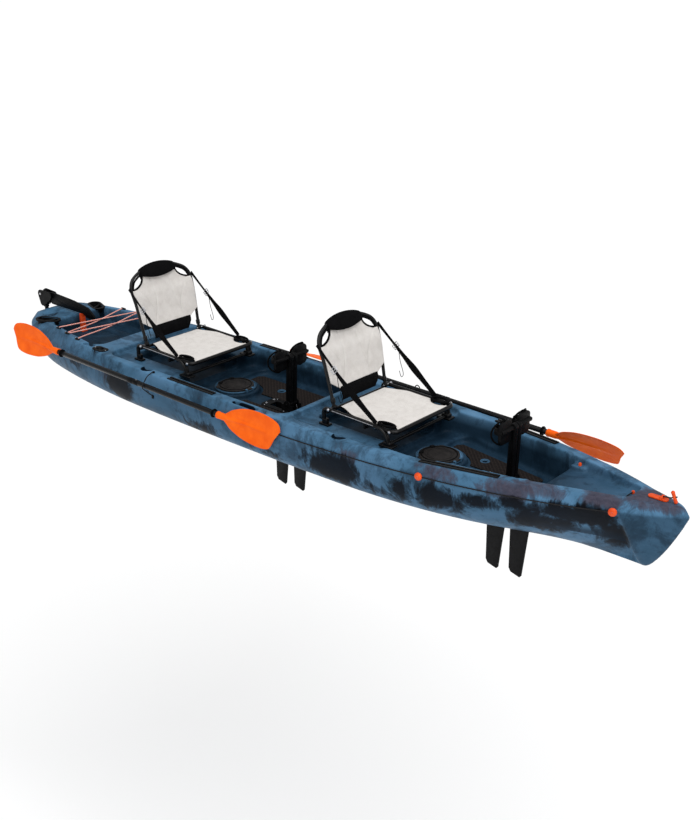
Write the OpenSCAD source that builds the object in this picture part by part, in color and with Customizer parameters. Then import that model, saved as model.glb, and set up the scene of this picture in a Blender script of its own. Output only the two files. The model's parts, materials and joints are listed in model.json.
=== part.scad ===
// Sit-on-top tandem kayak with two framed seats, two fin pedal drives, a flip-up rudder and two paddles.
// Millimetres. Origin amidships on the keel line, +X to the bow, +Y to port, +Z up.

/* [Hull] */
// Bow tip ahead of the origin
bow_x = 2325; // [2225:5:2425]
// Stern end behind the origin
stern_reach = 2285; // [2235:5:2335]
// Widest part of the hull
beam = 822; // [802:2:842]
// Height of the gunwale edge amidships
sheer_h = 312; // [308:1:316]
// Height of the side crease amidships
crease_h = 235; // [228:1:242]
// Wall of the moulding
wall = 5; // [4:0.5:6]
// Half width of the flat keel strip
keel_w = 60; // [55:1:70]

/* [Cockpit] */
// Height of the footwell floors
floor_z = 160; // [155:1:165]
// Height of the hatch platforms
platform_z = 190; // [186:1:194]
// Height of the ledges that carry the seats
ledge_z = 286; // [282:1:288]
// Half width of the seat bays
bay_w = 332; // [326:1:338]
// Rear seat pivot line from the origin
seat_rear_x = -995; // [-1005:1:-985]
// Spacing from the rear seat to the front seat
seat_pitch = 1475; // [1465:1:1485]
// Hatch centre ahead of the seat pivot line
hatch_dx = 490; // [484:1:496]
// Clear radius of a hatch opening
hatch_r = 92; // [88:1:96]
// Scupper hole radius
scupper_r = 16; // [12:1:18]
// Foam deck pad thickness
pad_t = 6; // [4:1:8]

/* [Pedal drives] */
// Rear drive centre from the origin
drive_rear_x = -60; // [-70:1:-50]
// Spacing from the rear drive to the front drive
drive_pitch = 1465; // [1455:1:1475]
// Height of the crank axle
crank_z = 205; // [202:1:210]
// Crank axle to pedal axle
crank_len = 280; // [260:1:300]
// Crank axle radius
crank_axle_r = 8; // [7:0.5:9]
// Height of the rod that the fins swing on
fin_axis_z = 18; // [16:1:22]
// Fin rod radius
fin_rod_r = 5; // [4:0.5:6]
// Fin span from its rod to its tip
fin_span = 330; // [300:1:360]
// Fin root chord
fin_root = 104; // [96:1:112]
// Fin tip chord
fin_tip = 66; // [56:1:76]
// Pedal axle radius
pedal_axle_r = 6; // [5:0.5:7]
// Pedal width across the boat
pedal_w = 92; // [84:1:98]
// Pedal height
pedal_h = 112; // [104:1:120]

/* [Seats] */
// Half width between the seat side rails
seat_half_w = 239; // [234:1:244]
// Seat tube radius
seat_tube_r = 11; // [10:0.5:12]
// Height of the seat rails above the ledge
seat_rail_up = 92; // [88:1:96]
// Seat depth from pivot to front tube
seat_depth = 393; // [380:1:405]
// Height of the back above its pivots
back_h = 431; // [415:1:450]
// Lean of the back from upright
back_lean = 12.5; // [9:0.5:14]
// Seat pivot pin radius
seat_pin_r = 5; // [4:0.5:6]
// Webbing width
strap_w = 38; // [30:1:44]

/* [Rudder] */
// Rudder pin behind the stern end
rudder_back = 20; // [19:1:24]
// Height of the blade lift bolt
rudder_z = 390; // [386:1:396]
// Blade length from lift bolt to tip
rudder_len = 540; // [520:5:555]
// Blade chord
rudder_chord = 80; // [76:1:82]
// Blade thickness
rudder_t = 12; // [10:1:14]
// Steering pin radius
rudder_pin_r = 5; // [4:0.5:6]

/* [Paddles] */
// Paddle length tip to tip
paddle_len = 2300; // [2260:5:2340]
// Paddle shaft radius
shaft_r = 15; // [14:0.5:15]
// Blade length with its neck
blade_len = 460; // [440:5:480]
// Blade width
blade_w = 186; // [170:2:192]

/* [Fittings] */
// Rod holder bore radius
rod_bore_r = 21; // [19:0.5:22]
// Rod holder depth
rod_depth = 210; // [190:5:230]
// Gear track width
track_w = 34; // [30:1:36]
// Gear track height
track_h = 13; // [11:1:14]
// Front gear track length
track_front_len = 410; // [370:5:430]
// Rear gear track length
track_rear_len = 370; // [330:5:390]
// Bungee cord radius
bungee_r = 4; // [3:0.5:5]
// Deck line cord radius
line_r = 3; // [2.5:0.5:4]

/* [Hidden] */
$fn = 48;

stern_x = -stern_reach;
mid_x = -100;
run = 0.05;
gap = 0.4;
seat_front_x = seat_rear_x + seat_pitch;
drive_front_x = drive_rear_x + drive_pitch;
crew = [[seat_rear_x, drive_rear_x], [seat_front_x, drive_front_x]];
seat_rail_z = ledge_z + seat_rail_up;

// Colours
camo_blue = [0.29, 0.43, 0.57];
black = [0.07, 0.07, 0.08];
orange = [0.95, 0.38, 0.10];
cream = [0.84, 0.82, 0.79];
brown = [0.21, 0.19, 0.18];
silver = [0.75, 0.75, 0.76];

// Small helpers
function mix(a, b, t) = a + (b - a) * t;
function clamp01(t) = min(1, max(0, t));
function ease(a, b, x) = let (t = clamp01((x - a) / (b - a))) t * t * (3 - 2 * t);
function unit(v) = v / norm(v);
function side_name(s) = s < 0 ? "starboard" : "port";

// Hull lines: distance along the bow or stern run, then half beam, crease, gunwale edge and keel
bow_power = 3;
bow_fullness = 0.9;
stern_power = 3;
stern_fullness = 0.33;
tip_t = 0.9975;
band_mid = 14;
band_bow = 32;
band_stern = 62;
band_share = 0.28;
bow_crease_rise = 75;
bow_crease_power = 1.6;
stern_crease_rise = 35;
bow_sheer_rise = 36;
stern_sheer_rise = 10;
nose_drop = 38;
nose_len = 60;
tail_drop = 38;
tail_len = 110;
deck_crown = 4;
stem_x = bow_x - 184;
stem_top = 300;
stem_power = 1.45;
stern_foot_x = stern_x + 420;
stern_rise = 120;
function bow_t(x) = clamp01((x - mid_x) / (bow_x - mid_x));
function stern_t(x) = clamp01((mid_x - x) / (mid_x - stern_x));
function fullness(x) = x >= mid_x
  ? pow(1 - pow(min(bow_t(x), tip_t), bow_power), bow_fullness)
  : pow(1 - pow(min(stern_t(x), tip_t), stern_power), stern_fullness);
function crease_y(x) = beam / 2 * fullness(x);
function crease_z(x) = crease_h + bow_crease_rise * pow(bow_t(x), bow_crease_power)
  + stern_crease_rise * pow(stern_t(x), 2);
function band_in(x) = mix(band_mid, x > mid_x ? band_bow : band_stern,
  x > mid_x ? ease(0.4, 0.8, bow_t(x)) : ease(0.4, 0.85, stern_t(x)));
function edge_y(x) = crease_y(x) - min(band_in(x), band_share * crease_y(x));
function nose_t(x) = clamp01((x - bow_x + nose_len) / nose_len);
function tail_t(x) = clamp01((stern_x + tail_len - x) / tail_len);
function edge_z(x) = sheer_h + bow_sheer_rise * ease(0.3, 0.95, bow_t(x)) + stern_sheer_rise *
  pow(stern_t(x), 2)
  - nose_drop * pow(nose_t(x), 2) - tail_drop * pow(tail_t(x), 2);
function keel_z(x) = x > stem_x
  ? stem_top * pow((x - stem_x) / (bow_x - stem_x), stem_power)
  : x < stern_foot_x ? stern_rise * pow((stern_foot_x - x) / (stern_foot_x - stern_x), 2) : 0;
function strip_w(x) = max(3, keel_w * (1 - ease(0.45, 0.9, bow_t(x))) * (1 - 0.7 * stern_t(x)));
mid_round = 3.4;
bow_round = 1.35;
stern_round = 2.4;
function section_round(x) = x >= mid_x
  ? mix(mid_round, bow_round, ease(0.3, 0.9, bow_t(x)))
  : mix(mid_round, stern_round, ease(0.4, 1, stern_t(x)));

// One hull section as points in the YZ plane, from the keel up the port side and down the starboard side
function half_section(x, inset, steps) = let (
    n = section_round(x), w = strip_w(x), zk = keel_z(x) + inset,
    yc = max(crease_y(x) - inset, w + 4), zc = max(crease_z(x), zk + 8)
  ) concat(
    [for (i = [0 : steps]) let (a = 90 * i / steps)
      [w + (yc - w) * pow(sin(a), 2 / n), zk + (zc - zk) * (1 - pow(cos(a), 2 / n))]],
    [[max(edge_y(x) - inset, w + 2), edge_z(x) - inset]]
  );
function hull_ring(x, inset, steps) = let (h = half_section(x, inset, steps), top = len(h) - 1) concat(
    [[x, 0, keel_z(x) + inset]],
    [for (i = [0 : top]) [x, h[i][0], h[i][1]]],
    [[x, 0, edge_z(x) - inset + deck_crown]],
    [for (i = [top : -1 : 0]) [x, -h[i][0], h[i][1]]]
  );
// Stations crowd towards both ends
end_crowding = 0.6;
function crowded(t) = t <= 0.5
  ? end_crowding * 2 * t * t + (1 - end_crowding) * t
  : 1 - crowded(1 - t);
function stations(a, b, n) = [for (i = [0 : n]) mix(a, b, crowded(i / n))];
module loft(rings) {
  s = len(rings[0]);
  m = len(rings);
  sides = [for (i = [0 : m - 2]) for (k = [0 : s - 1]) let (a = i * s + k, b = i * s + (k + 1) % s)
    each [[a, a + s, b + s], [a, b + s, b]]];
  polyhedron([for (r = rings) each r], concat(
    sides, [[for (k = [0 : s - 1]) k]], [[for (k = [s - 1 : -1 : 0]) (m - 1) * s + k]]));
}

// Closed solid between two grids of points, the first on the outer side
module slab(nu, nv, outer, inner) {
  row = nv + 1;
  half = (nu + 1) * row;
  pts = concat(
    [for (i = [0 : nu]) for (j = [0 : nv]) outer(i / nu, j / nv)],
    [for (i = [0 : nu]) for (j = [0 : nv]) inner(i / nu, j / nv)]);
  cells = [for (i = [0 : nu - 1]) for (j = [0 : nv - 1]) let (a = i * row + j)
    each [[a, a + 1, a + row + 1], [a, a + row + 1, a + row],
          [half + a, half + a + row + 1, half + a + 1], [half + a, half + a + row, half + a + row + 1]]];
  long_edges = [for (i = [0 : nu - 1]) let (a = i * row, b = a + nv)
    each [[a, a + row, half + a + row], [a, half + a + row, half + a],
          [b + row, b, half + b], [b + row, half + b, half + b + row]]];
  short_edges = [for (j = [0 : nv - 1]) let (a = j, b = nu * row + j)
    each [[a + 1, a, half + a], [a + 1, half + a, half + a + 1],
          [b, b + 1, half + b + 1], [b, half + b + 1, half + b]]];
  polyhedron(pts, concat(cells, long_edges, short_edges));
}

// Round tube swept along points
function tangents(p) = [for (i = [0 : len(p) - 1]) unit(p[min(i + 1, len(p) - 1)] - p[max(i - 1, 0)])];
function square_to(t) = unit(cross(t, abs(t[2]) < 0.8 ? [0, 0, 1] : [0, 1, 0]));
function tube_rings(p, r, s) = let (t = tangents(p)) [
  for (i = 0, n = square_to(t[0]); i < len(p); i = i + 1, n = i < len(p) ? unit(n - (n * t[i]) * t[i]) : n)
    [for (k = [0 : s - 1]) p[i] + r * (cos(360 * k / s) * n + sin(360 * k / s) * cross(t[i], n))]];
module tube(p, r, s = 8) {
  loft(tube_rings(p, r, s));
}
function curve_point(p, i, t) = let (
    a = p[max(i - 1, 0)], b = p[i], c = p[i + 1], d = p[min(i + 2, len(p) - 1)]
  ) 0.5 * (2 * b + (c - a) * t + (2 * a - 5 * b + 4 * c - d) * t * t + (3 * b - a - 3 * c + d) * t * t * t);
function curve(p, m) = concat(
  [for (i = [0 : len(p) - 2]) for (j = [0 : m - 1]) curve_point(p, i, j / m)], [p[len(p) - 1]]);

// Straight round bar between two points
module bar(a, b, r) {
  d = b - a;
  translate(a) rotate([0, acos(d[2] / norm(d)), atan2(d[1], d[0])]) cylinder(h = norm(d), r = r);
}
// Bar across the boat, centred on y
module cross_bar(x, y0, y1, z, r) {
  translate([x, y0, z]) rotate([-90, 0, 0]) cylinder(h = y1 - y0, r = r);
}
// Bar along the boat
module long_bar(x0, x1, y, z, r) {
  translate([x0, y, z]) rotate([0, 90, 0]) cylinder(h = x1 - x0, r = r);
}
module rounded_plate(l, w, t, r) {
  linear_extrude(t) hull_2d(l, w, r);
}
module hull_2d(l, w, r) {
  union() {
    square([l - 2 * r, w], center = true);
    square([l, w - 2 * r], center = true);
    for (i = [-1, 1]) for (j = [-1, 1]) translate([i * (l / 2 - r), j * (w / 2 - r)]) circle(r);
  }
}

// Wells: [x aft, x fore, half width aft, half width fore, floor aft, floor fore, corner]
well_fillet = 16;
well_draft = 8;
well_top = 520;
well_fn = 16;
channel_w = 188;
channel_z = 216;
tank_z = 214;
tank_x = [stern_x + 325, seat_rear_x - 395];
bow_well_x = [bow_x - 690, bow_x - 265];
bow_floor = 312;
function seat_bay(x) = [x - 245, x + 395, bay_w, bay_w, ledge_z, ledge_z, 60];
function seat_channel(x) = [x - 185, x + 395, channel_w, channel_w, channel_z, channel_z, 50];
function platform(x, w) = [x + 315, x + 680, w, w, platform_z, platform_z, 60];
WELLS = [
  [tank_x[0], tank_x[1], 222, 288, tank_z, tank_z, 70],
  seat_bay(seat_rear_x), seat_channel(seat_rear_x), platform(seat_rear_x, 328),
  [seat_rear_x + 630, drive_rear_x + 255, 332, 332, floor_z, floor_z, 70],
  seat_bay(seat_front_x), seat_channel(seat_front_x), platform(seat_front_x, 298),
  [seat_front_x + 630, drive_front_x + 220, 304, 194, floor_z, floor_z, 60],
  [bow_well_x[0], bow_well_x[1], 178, 72, 276, bow_floor, 34]
];
// Round cups and long pockets moulded into the gunwales: [x, inset from the edge, length, width, depth]
POCKETS = [
  [seat_rear_x + 132, 47, 80, 80, 34], [seat_front_x + 120, 47, 80, 80, 34],
    [drive_rear_x + 15, 27, 180, 34, 30]
];
module gunwale_pocket(k, s, grow) {
  r = k[3] / 2;
  translate([k[0], s * (edge_y(k[0]) - k[1]), edge_z(k[0]) - k[4] - grow]) hull()
    for (e = [-1, 1]) translate([e * (k[2] / 2 - r), 0, 0]) cylinder(h = 90, r = r + grow, $fn = well_fn);
}
// Blocks on the bow well walls that carry the after pair of buttons
boss_x = [bow_well_x[0] + 6, bow_well_x[0] + 86];
boss_in = 140;
boss_top = 303;
module bow_bosses() {
  for (s = [-1, 1]) translate([boss_x[0], s > 0 ? boss_in : -boss_in - 60, boss_top - 40])
    cube([boss_x[1] - boss_x[0], 60, 40]);
}
module well(w, grow) {
  r = w[6] + grow;
  f = well_fillet;
  hull() for (e = [0, 1]) for (s = [-1, 1])
    translate([e == 0 ? w[0] + w[6] : w[1] - w[6], s * (w[2 + e] - w[6]), w[4 + e] - grow]) {
      cylinder(h = 0.01, r = r - f, $fn = well_fn);
      translate([0, 0, f * 0.29]) cylinder(h = 0.01, r = r - f * 0.29, $fn = well_fn);
      translate([0, 0, f]) cylinder(h = 0.01, r = r, $fn = well_fn);
      translate([0, 0, well_top - w[4 + e]]) cylinder(h = 0.01, r = r + well_draft, $fn = well_fn);
    }
}
trunk_x = [-180, 160];
trunk_w = 44;
module trunk(xd, grow) {
  hull() for (x = [trunk_x[0] + trunk_w, trunk_x[1] - trunk_w])
    translate([xd + x, 0, -20]) cylinder(h = floor_z + 60, r = trunk_w + grow, $fn = well_fn);
}
SCUPPERS = [
  [drive_rear_x - 235, 165], [drive_rear_x - 235, -165], [drive_front_x - 258, 150],
    [drive_front_x - 258, -150],
  [tank_x[0] + 120, 0]
];
module scupper(p, grow) {
  translate([p[0], p[1], -20]) cylinder(h = sheer_h, r = scupper_r + grow, $fn = well_fn);
}
cavity_x = [stern_x + 45, bow_x - 130];
module cavity() {
  difference() {
    loft([for (x = stations(cavity_x[0], cavity_x[1], 24)) hull_ring(x, wall, 6)]);
    for (w = WELLS) well(w, wall);
    for (c = crew) trunk(c[1], wall);
    for (p = SCUPPERS) scupper(p, wall);
    for (t = TRACKS) track_pocket(t, wall);
    for (s = [-1, 1]) handle_pocket(s, wall);
    for (k = POCKETS) for (s = [-1, 1]) gunwale_pocket(k, s, wall);
  }
}
module hull_body() {
  difference() {
    loft([for (x = stations(stern_x, bow_x, 38)) hull_ring(x, 0, 8)]);
    cavity();
    for (w = WELLS) well(w, 0);
    for (c = crew) trunk(c[1], 0);
    for (p = SCUPPERS) scupper(p, 0);
    for (c = crew) translate([c[0] + hatch_dx, 0, platform_z - 40])
      cylinder(h = 60, r = hatch_r + ring_neck + gap);
    for (s = [-1, 1]) rod_holder_place(s) rod_holder_lean() translate([0, 0, -rod_depth - 60])
      cylinder(h = rod_depth + 160, r = rod_bore_r + rod_wall + gap, $fn = 32);
    for (s = [-1, 1]) rod_holder_place(s)
      rounded_plate(rod_flange[0] + 2 * gap, rod_flange[1] + 2 * gap, 60, 26);
    for (t = TRACKS) track_pocket(t, 0);
    for (s = [-1, 1]) handle_pocket(s, 0);
    for (k = POCKETS) for (s = [-1, 1]) gunwale_pocket(k, s, 0);
  }
}
// The one moulding is kept as four lengths that meet face to face
hull_cuts = [stern_x - 10, seat_rear_x + 235, seat_front_x - 265, seat_front_x + 280, bow_x + 10];
module hull_length(i) {
  color(camo_blue) intersection() {
    union() {
      hull_body();
      bow_bosses();
    }
    translate([hull_cuts[i], -beam, -50]) cube([hull_cuts[i + 1] - hull_cuts[i], 2 * beam, 2 * sheer_h]);
  }
}

// Hatches: a ring let into the platform and a lid hinged on its forward edge
ring_neck = 5;
ring_flange = 26;
ring_t = 6;
lid_t = 9;
lid_over = 13;
hatch_pin_r = 3;
hinge_out = hatch_r + ring_neck + 17;
hinge_rise = 6.5;
hinge_up = platform_z + ring_t + hinge_rise;
function hatch_x(x) = x + hatch_dx;
module hatch_ring(x) {
  translate([hatch_x(x), 0, platform_z]) difference() {
    union() {
      cylinder(h = ring_t, r = hatch_r + ring_flange);
      translate([0, 0, -18]) cylinder(h = 18, r = hatch_r + ring_neck);
      for (s = [-1, 1]) translate([hinge_out - 6, s * 24 - 6, 0]) cube([12, 12, ring_t + hinge_rise + 6]);
    }
    translate([0, 0, -30]) cylinder(h = 60, r = hatch_r);
    translate([hinge_out, -40, hinge_up - platform_z]) rotate([-90, 0, 0])
      cylinder(h = 80, r = hatch_pin_r + run);
  }
}
module hatch_rings() {
  color(black) for (c = crew) hatch_ring(c[0]);
}
module hatch_lid(x) {
  color(brown) union() {
    translate([hatch_x(x), 0, platform_z + ring_t + gap]) {
      cylinder(h = lid_t, r = hatch_r + lid_over);
      translate([0, 0, lid_t]) cylinder(h = 3, r = hatch_r - 22);
      translate([0, 0, -10]) cylinder(h = 10, r = hatch_r - 2);
      for (a = [120, 240]) rotate(a) translate([hatch_r + 2, -13, 0]) cube([20, 26, lid_t - 2]);
      translate([hatch_r - 6, -16, lid_t - 6]) cube([hinge_out - hatch_r + 6, 32, 6]);
    }
    difference() {
      cross_bar(hatch_x(x) + hinge_out, -17.6, 17.6, hinge_up, 6);
      cross_bar(hatch_x(x) + hinge_out, -30, 30, hinge_up, 1);
    }
    for (s = [-1, 1]) cross_bar(hatch_x(x) + hinge_out, s > 0 ? 17 : -31, s > 0 ? 31 : -17, hinge_up,
      hatch_pin_r);
  }
}

// Foam pads either side of each drive trunk
pad_out = 232;
pad_in = 62;
module pad_pair(x0, x1, w_out, hole_x, hole_y) {
  for (s = [-1, 1]) translate([0, 0, floor_z + 0.05]) difference() {
    linear_extrude(pad_t) polygon([
      [x0, s * pad_in], [x0, s * (w_out - 40)], [x0 + 40, s * w_out], [x1 - 60, s * (w_out - 12)],
      [x1, s * (w_out - 70)], [x1, s * pad_in]]);
    translate([hole_x, s * hole_y, -1]) cylinder(h = pad_t + 2, r = scupper_r + 10);
  }
}
module deck_pads() {
  color(brown) {
    pad_pair(drive_rear_x - 270, drive_rear_x + 170, pad_out, SCUPPERS[0][0], SCUPPERS[0][1]);
    pad_pair(drive_front_x - 270, drive_front_x + 140, pad_out - 54, SCUPPERS[2][0], SCUPPERS[2][1]);
  }
}

// Gear tracks: [x of the middle, length, side]
track_sunk = 8;
track_inset = 27;
TRACKS_REAR = [for (s = [-1, 1]) [drive_rear_x - 410, track_rear_len, s]];
TRACKS_FRONT = [for (s = [-1, 1]) [drive_front_x - 110, track_front_len, s]];
TRACKS = concat(TRACKS_REAR, TRACKS_FRONT);
module track_place(t) {
  x0 = t[0] - t[1] / 2;
  x1 = t[0] + t[1] / 2;
  yaw = atan2(edge_y(x1) - edge_y(x0), t[1]);
  pitch = atan2(edge_z(x1) - edge_z(x0), t[1]);
  translate([t[0], t[2] * ((edge_y(x0) + edge_y(x1)) / 2 - track_inset), (edge_z(x0) + edge_z(x1)) / 2 + 1])
    rotate([0, -pitch, t[2] * yaw]) children();
}
module track_pocket(t, grow) {
  track_place(t) translate([0, 0, 60 - track_sunk - grow])
    cube([t[1] + 2 * (gap + grow), track_w + 2 * (gap + grow), 120], center = true);
}
slot_mouth = 9;
slot_inner = 20;
module gear_track(t) {
  track_place(t) translate([0, 0, -track_sunk]) rotate([90, 0, 90]) linear_extrude(t[1], center = true)
    difference() {
    translate([-track_w / 2, 0]) square([track_w, track_h]);
    translate([-slot_mouth / 2, 3]) square([slot_mouth, track_h]);
    translate([-slot_inner / 2, 3]) square([slot_inner, 5]);
  }
}
module gear_tracks() {
  color(black) for (t = TRACKS) gear_track(t);
}

// Flush rod holders behind the rear seat, leaning aft and out
rod_wall = 3.5;
rod_flange = [112, 62];
rod_lean = 28;
rod_x = seat_rear_x - 329;
module rod_holder_place(s) {
  translate([rod_x, s * (edge_y(rod_x) - 34), edge_z(rod_x) - 1]) children();
}
module rod_holder_lean() {
  rotate([0, -rod_lean, 0]) children();
}
module rod_holders() {
  color(black) for (s = [-1, 1]) rod_holder_place(s) difference() {
    union() {
      rounded_plate(rod_flange[0], rod_flange[1], 5, 26);
      rod_holder_lean() difference() {
        translate([0, 0, -rod_depth]) cylinder(h = rod_depth + 30, r = rod_bore_r + rod_wall);
        rotate([0, rod_lean, 0]) translate([-100, -100, 4]) cube(200);
      }
    }
    rod_holder_lean() translate([0, 0, -rod_depth + 6]) cylinder(h = rod_depth + 60, r = rod_bore_r);
  }
}

// Grab handles let into the stern quarters
handle_l = 140;
handle_w = 62;
handle_deep = 30;
handle_bar_r = 9;
handle_x = stern_x + 263;
handle_y = 192;
handle_turn = -20;
handle_bar_turn = 45;
module handle_place(s) {
  translate([handle_x, s * handle_y, deck_z(handle_x, handle_y)]) rotate([0, 0, s * handle_turn])
    children();
}
module handle_pocket(s, grow) {
  handle_place(s) translate([0, 0, -handle_deep - grow])
    rounded_plate(handle_l + 2 * grow, handle_w + 2 * grow, 80, 22 + grow);
}
module stern_handles() {
  color(black) for (s = [-1, 1]) handle_place(s) translate([0, 0, -handle_deep]) union() {
    difference() {
      rounded_plate(handle_l - 2 * gap, handle_w - 2 * gap, handle_deep - 2, 22 - gap);
      translate([0, 0, 3]) rounded_plate(handle_l - 10, handle_w - 10, handle_deep, 17);
    }
    intersection() {
      rounded_plate(handle_l - 6, handle_w - 6, handle_deep, 19);
      rotate([-90, 0, s * handle_bar_turn]) translate([0, 13 - handle_deep, 0])
        cylinder(h = 2 * handle_w, r = handle_bar_r, center = true);
    }
  }
}

// Orange buttons, fairleads and the bow pad-eye
button_r = 9;
button_t = 11;
bow_eye_x = bow_x - 155;
module deck_button(p, n) {
  translate(p) rotate([0, acos(n[2]), atan2(n[1], n[0])]) {
    cylinder(h = button_t, r1 = button_r, r2 = button_r - 2);
    translate([0, 0, button_t]) cylinder(h = 3, r = button_r - 4);
  }
}
line_x = [drive_front_x - 285, bow_x - 292];
button_gap = 0.2;
function deck_z(x, y) = edge_z(x) + deck_crown * (1 - abs(y) / edge_y(x));
bow_button_x = [mix(boss_x[0], boss_x[1], 0.5), bow_well_x[1] - 34];
bow_button_y = [boss_in + 22, 44];
line_lift = line_r + 0.6;
function line_point(x) = [x, -crease_y(x) - line_lift, crease_z(x)];
WELL_BUTTONS = concat(
  [for (s = [-1, 1]) [bow_button_x[0], s * bow_button_y[0], boss_top + button_gap]],
  [for (s = [-1, 1]) [bow_button_x[1], s * bow_button_y[1], bow_floor + button_gap]]);
eye_l = 96;
eye_w = 34;
function crease_normal(x) = unit([crease_y(x - 1) - crease_y(x + 1), -2, 0]);
module line_button(x, through) {
  difference() {
    deck_button([x, -crease_y(x), crease_z(x)] + crease_normal(x) * button_gap, crease_normal(x));
    bar(line_point(x - 3 * button_r), line_point(x + (through ? 3 * button_r : 0)), line_r + 1);
  }
}
module deck_fittings() {
  color(orange) {
    line_button(line_x[0], true);
    line_button(line_x[1], false);
    for (p = WELL_BUTTONS) deck_button(p, [0, 0, 1]);
    translate([bow_eye_x, 0, edge_z(bow_eye_x) + deck_crown + 1]) rotate([0, bow_eye_tilt, 0]) union() {
      rounded_plate(eye_l, eye_w, 6, 16);
      for (s = [-1, 1]) translate([10, s * 11 - 3, 0]) cube([14, 6, 16]);
      translate([17, -11, 15]) rotate([-90, 0, 0]) cylinder(h = 22, r = 4);
    }
  }
}
bow_eye_tilt = -atan2(edge_z(bow_eye_x + 50) - edge_z(bow_eye_x - 50), 100);

// Thin line along the starboard crease through its fairlead, its aft stop, and the strap across the bow well
line_from = drive_rear_x + 265;
line_steps = 30;
strap_z = bow_floor + 8;
module deck_line() {
  line_to = line_x[1] - 0.3;
  y = bow_button_y[1] - button_r + 1.4 - gap;
  color(black) {
    tube([for (i = [0 : line_steps]) line_point(mix(line_from, line_to, i / line_steps))], line_r);
    tube([for (t = [-1 : 0.5 : 1]) [bow_button_x[1], t * y, strap_z]], line_r);
    translate(line_point(line_from) - [line_r, 0, 0]) rotate([90, 0, 0])
      cylinder(h = 5, r = line_r + 2, center = true);
  }
}

// Stern bungee, zigzag from anchor to anchor
ANCHOR_X = [for (t = [0.2333, 0.4456, 0.6825]) mix(tank_x[0], tank_x[1], t)];
bungee_lift = 1.2;
anchor_in = 24;
function anchor(i, s) = let (x = ANCHOR_X[i])
  [x, s * (edge_y(x) - anchor_in), edge_z(x) + bungee_lift + bungee_r];
BUNGEE = [
  anchor(0, -1), anchor(1, 1), anchor(1, -1), anchor(0, 1), anchor(1, -1) + [18, 0, 0], anchor(2, 1),
  anchor(2, -1), anchor(1, 1) + [18, 0, 0]
];
module stern_bungee() {
  color(orange) for (i = [0, 2, 4, 6]) {
    d = unit(BUNGEE[i + 1] - BUNGEE[i]);
    n = 8;
    tuck = 5.8;
    lift = [0, 0, (i == 2 || i == 6) ? -2 * bungee_r - 2 : 0];
    tube([for (k = [0 : n]) let (t = k / n)
      mix(BUNGEE[i] - d * tuck, BUNGEE[i + 1] + d * tuck, t) + lift * pow(sin(180 * t), 2)], bungee_r);
  }
}
module bungee_anchors() {
  color(black) for (i = [0 : 2]) for (s = [-1, 1]) {
    x = anchor(i, s)[0];
    translate([x + 5, s * (edge_y(x) - anchor_in + 14), edge_z(x) + 0.6]) rounded_plate(40, 14, 9, 6);
  }
}

// Bow toggle handle on its short cord
toggle_x = bow_eye_x + 74;
toggle_l = 44;
toggle_r = 8;
toggle_lean = 24;
toggle_z = edge_z(toggle_x) + deck_crown + toggle_l / 2 * cos(toggle_lean) + toggle_r + 1;
module bow_toggle() {
  color(orange) translate([toggle_x, 0, toggle_z]) rotate([0, 180 - toggle_lean, 0]) difference() {
    union() {
      cylinder(h = toggle_l, r = toggle_r, center = true);
      for (s = [-1, 1]) translate([0, 0, s * toggle_l / 2]) sphere(toggle_r + 1);
    }
    rotate([0, 90, 0]) cylinder(h = 40, r = line_r + 0.8, center = true);
  }
}
module bow_toggle_cord() {
  d = [cos(toggle_lean), 0, sin(toggle_lean)];
  a = [bow_eye_x + 21.4, 0, edge_z(bow_eye_x) + deck_crown + 16];
  b = [toggle_x, 0, toggle_z];
  color(black) tube(curve([a, b - d * 18, b, b + d * 14], 4), line_r);
}

// Keeper bungees that hold the paddle shafts against the hull, with beads and hooks
KEEPER_X = [drive_rear_x - 720, drive_rear_x + 560];
keeper_r = 3;
hook_down = 66;
hook_out = [4.3, 5.6];
keeper_wrap = shaft_r + keeper_r + 4;
function keeper_top(s, x) = let (c = paddle_at(s, x))
  [x, s * min(edge_y(x) - 8, abs(c[1]) - keeper_wrap - 4), edge_z(x) + keeper_r + 4.5];
function keeper_path(s, x) = let (c = paddle_at(s, x), top = keeper_top(s, x), r = keeper_wrap) [
    top, mix(top, c + [0, 0, r], 0.6) + [0, s * 5, 12],
    c + [0, 0.6 * s * r, 0.8 * r], c + [0, s * r, 0], c + [0, 0.6 * s * r, -0.8 * r],
    hook_point(s, x) + [0, s * 5, 8]
  ];
bead_r = 7;
function hook_point(s, x) = let (z = paddle_at(s, x)[2] - hook_down)
  [x + 20, s * (side_y(x + 20, z) + hook_out[paddle_i(s)]), z];
function side_y(x, z) = let (
    n = section_round(x), w = strip_w(x), zk = keel_z(x), c = clamp01((z - zk) / (crease_z(x) - zk))
  ) w + (crease_y(x) - w) * pow(sqrt(max(0, 1 - pow(1 - c, n))), 2 / n);
KEEPERS = [[-1, KEEPER_X[0]], [1, KEEPER_X[1]]];
module paddle_bungees() {
  color(black) for (k = KEEPERS) tube(curve(keeper_path(k[0], k[1]), 4), keeper_r);
}
module paddle_hooks() {
  color(black) for (k = KEEPERS) {
    p = hook_point(k[0], k[1]);
    translate(p + [0, -k[0] * 1.5, -4]) rotate([90, 0, 0]) translate([0, 0, -4])
      rounded_plate(16, 22, 7, 6);
    top = keeper_top(k[0], k[1]);
    translate([k[1], top[1] - k[0] * (bead_r + keeper_r + gap), edge_z(k[1]) + 0.5])
      cylinder(h = 10, r = bead_r);
  }
}

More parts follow.
